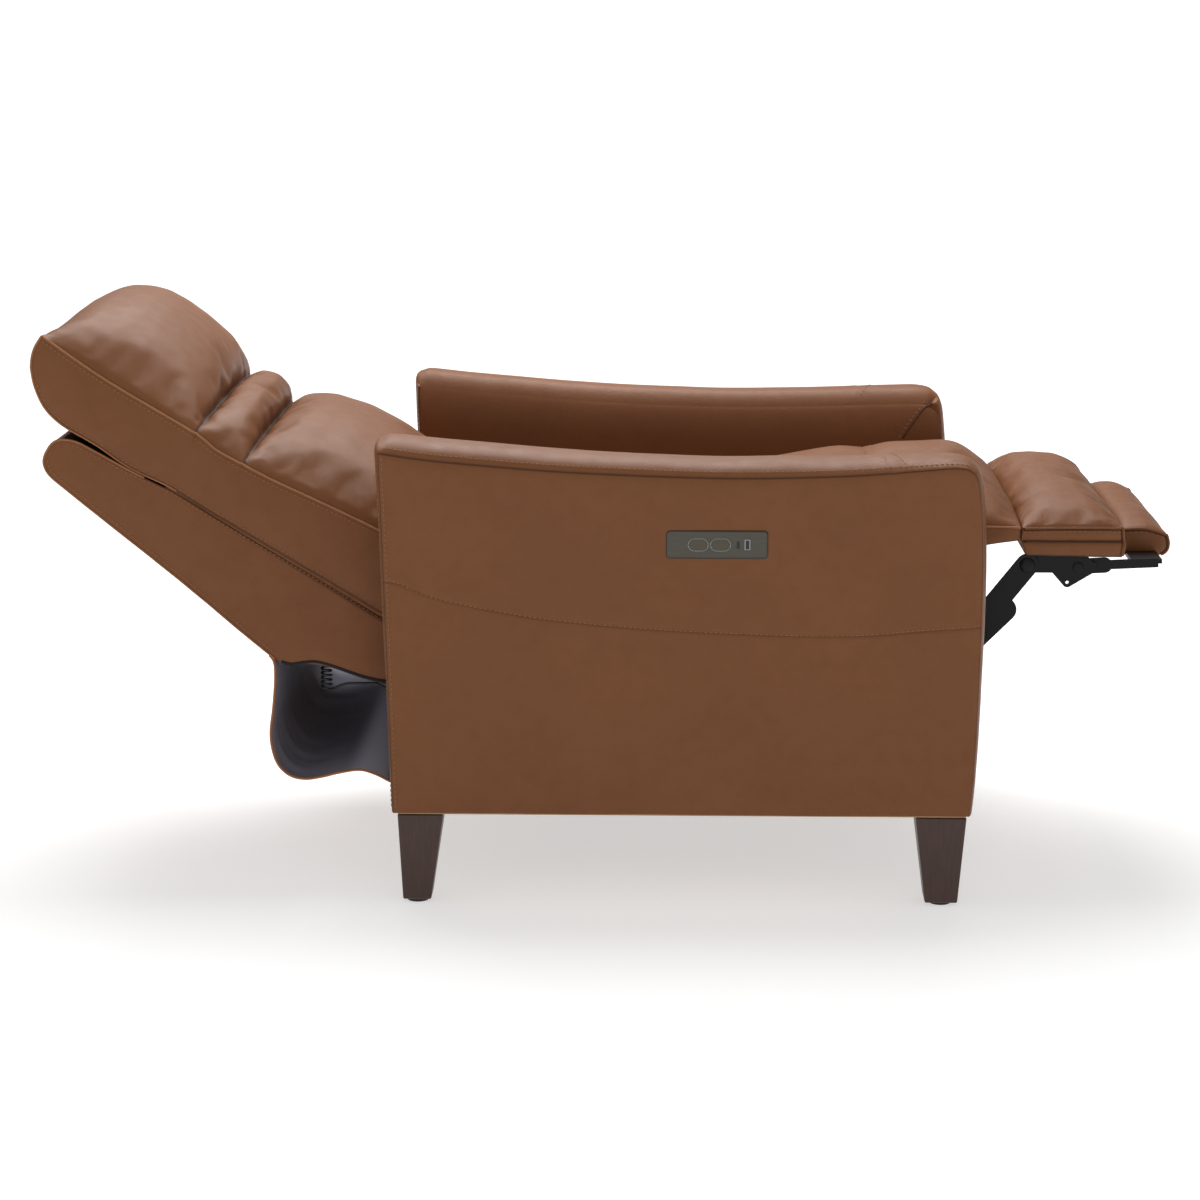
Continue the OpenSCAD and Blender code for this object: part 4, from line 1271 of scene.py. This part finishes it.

# %% [markdown]
# ## Mechanism
# The plates, links, tubes, motors and frames are the CAD's own nodes and only need
# their finishes. Each pivot's pin is riveted over, so a small domed head stands on the
# outside of the joint; heads are made for the knee, footrest and extension pivots: the
# same head many times, which Geometry Nodes place on a set of points, one set for each body.

# %% Finishes of the CAD nodes
FINISHES = {
    powder_coat: ("base_plates", "cross_tubes", "seat_rails", "lower_links", "drive_tube",
                  "upper_links", "footrest_brackets", "extension_arms", "extension_board",
                  "back_brackets", "headrest_hinges", "headrest_frame"),
    zinc: ("rear_pivot_pins", "knee_pins", "footrest_pins", "extension_pins", "leg_bolts",
           "usb_a_port"),
    spring_wire: ("seat_springs", "back_springs"),
    aluminium: ("actuator_rail",),
    black_plastic: ("leg_glides", "switch_housing", "usb_c_port", "recline_motor",
                    "actuator_nut", "power_inlet", "headrest_motor"),
    gunmetal: ("control_plate",),
    button_paint: ("recline_button", "headrest_button"),
    timber: ("arm_frame_right", "arm_frame_left", "front_rail", "rear_rail", "seat_frame",
             "back_frame", "footrest_board"),
}
for finish, nodes in FINISHES.items():
    for node in nodes:
        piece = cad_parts[node]
        piece.data.materials.clear()
        piece.data.materials.append(finish)
print("finished nodes:", sum(len(nodes) for nodes in FINISHES.values()))

# %% Rivet heads
def rivet_tree():
    """Points in, domed heads squashed along y, so that they face the chair's sides, out."""
    tree = bpy.data.node_groups.new("rivets", "GeometryNodeTree")
    tree.interface.new_socket("Points", in_out="INPUT", socket_type="NodeSocketGeometry")
    for key in ("Radius", "Height"):
        tree.interface.new_socket(key, in_out="INPUT", socket_type="NodeSocketFloat")
    tree.interface.new_socket("Steel", in_out="INPUT", socket_type="NodeSocketMaterial")
    tree.interface.new_socket("Rivets", in_out="OUTPUT", socket_type="NodeSocketGeometry")
    given, out = tree.nodes.new("NodeGroupInput"), tree.nodes.new("NodeGroupOutput")
    head = add_node(tree, "GeometryNodeMeshUVSphere", Segments=12, Rings=6, Radius=1.0)
    size = add_node(tree, "ShaderNodeCombineXYZ",
                    [("X", given.outputs["Radius"]), ("Y", given.outputs["Height"]),
                     ("Z", given.outputs["Radius"])])
    placed = add_node(tree, "GeometryNodeInstanceOnPoints",
                      [("Points", given.outputs["Points"]), ("Instance", head.outputs["Mesh"]),
                       ("Scale", size.outputs["Vector"])])
    real = add_node(tree, "GeometryNodeRealizeInstances",
                    [("Geometry", placed.outputs["Instances"])])
    dressed = add_node(tree, "GeometryNodeSetMaterial",
                       [("Geometry", real.outputs["Geometry"]),
                        ("Material", given.outputs["Steel"])])
    tree.links.new(dressed.outputs["Geometry"], out.inputs["Rivets"])
    return tree


rivets = rivet_tree()


def middle_of(node):
    """The [x, z] middle of a node's box, in the side view."""
    low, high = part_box(node)
    return ((low.x + high.x) / 2 - DATUM_X) / MM, (low.z + high.z) / 2 / MM


def rivet(name, body, node, spots, radius=9, height=2.4):
    """Heads on both sides of the chair; spots are [x, z], all at the node's outer face."""
    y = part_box(node)[1].y / MM
    mesh = bpy.data.meshes.new(name)
    mesh.from_pydata([tuple(at(x, s * y, z)) for x, z in spots for s in (-1, 1)], [], [])
    made = run_nodes(name, rivets, mesh,
                     {"Radius": radius * MM, "Height": height * MM, "Steel": powder_coat})
    made.data.polygons.foreach_set("use_smooth", [True] * len(made.data.polygons))
    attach(made, body)
    return made


knee, foot_pivot, flip_pivot = (middle_of(n) for n in ("knee_pins", "footrest_pins",
                                                       "extension_pins"))
rivet("knee_rivets", "lower_links", "knee_pins", [knee])
rivet("footrest_rivets", "upper_links", "footrest_pins", [foot_pivot], radius=11)
rivet("extension_rivets", "footrest", "extension_pins", [flip_pivot], radius=8, height=0.8)
print("knee at", [round(c, 1) for c in knee])

# %% [markdown]
# ## Sewing
# The rows gathered while the pieces were made are now sewn, one mesh for each group:
# rows on a piece that rides on no body ride on none either, and rows on the seat's
# front section get a mesh of their own, as the section does.

# %% Stitches on every body
for group, body in (("base", "base"), ("back", "back"), ("seat", "seat"),
                    ("footrest", "footrest"), ("extension", "extension")):
    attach(sew_rows(group, "stitches_" + body), body)
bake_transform(sew_rows("back_head", "stitches_back_and_head"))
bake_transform(sew_rows("flap", "stitches_flap"))
front_stitches = sew_rows("front", "stitches_seat_front")
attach(front_stitches, "seat")
for piece in (*front_pieces, front_stitches):
    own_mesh(piece)

# %% [markdown]
# ## Floor
# The floor is a plain pale sheet.

# %% Floor
floor_finish = speckled("pale_floor", (0.62, 0.62, 0.62, 1), (0.6, 0.6, 0.6, 1), 3, (0.75, 0.85),
                        strength=0.0)
NEAR_GLOW = 0.55
FAR_GLOW = 1.0


def glow_far_off(material):
    """Lights the floor up away from the chair, so that it fades into white walls."""
    tree = material.node_tree
    spot = add_node(tree, "ShaderNodeNewGeometry")
    far = add_node(tree, "ShaderNodeVectorMath", [(0, spot.outputs["Position"])],
                   operation="LENGTH")
    glow = add_node(tree, "ShaderNodeMapRange", [("Value", far.outputs["Value"])])
    glow.inputs["From Min"].default_value = 1.2
    glow.inputs["From Max"].default_value = 3.6
    glow.inputs["To Min"].default_value = NEAR_GLOW
    glow.inputs["To Max"].default_value = FAR_GLOW
    shader = tree.nodes["Principled BSDF"]
    shader.inputs["Emission Color"].default_value = (1, 1, 1, 1)
    tree.links.new(glow.outputs["Result"], shader.inputs["Emission Strength"])


glow_far_off(floor_finish)
bpy.ops.mesh.primitive_plane_add(size=600, location=(0, 0, 0))
floor = bpy.context.object
floor.name = "floor"
floor.data.materials.append(floor_finish)
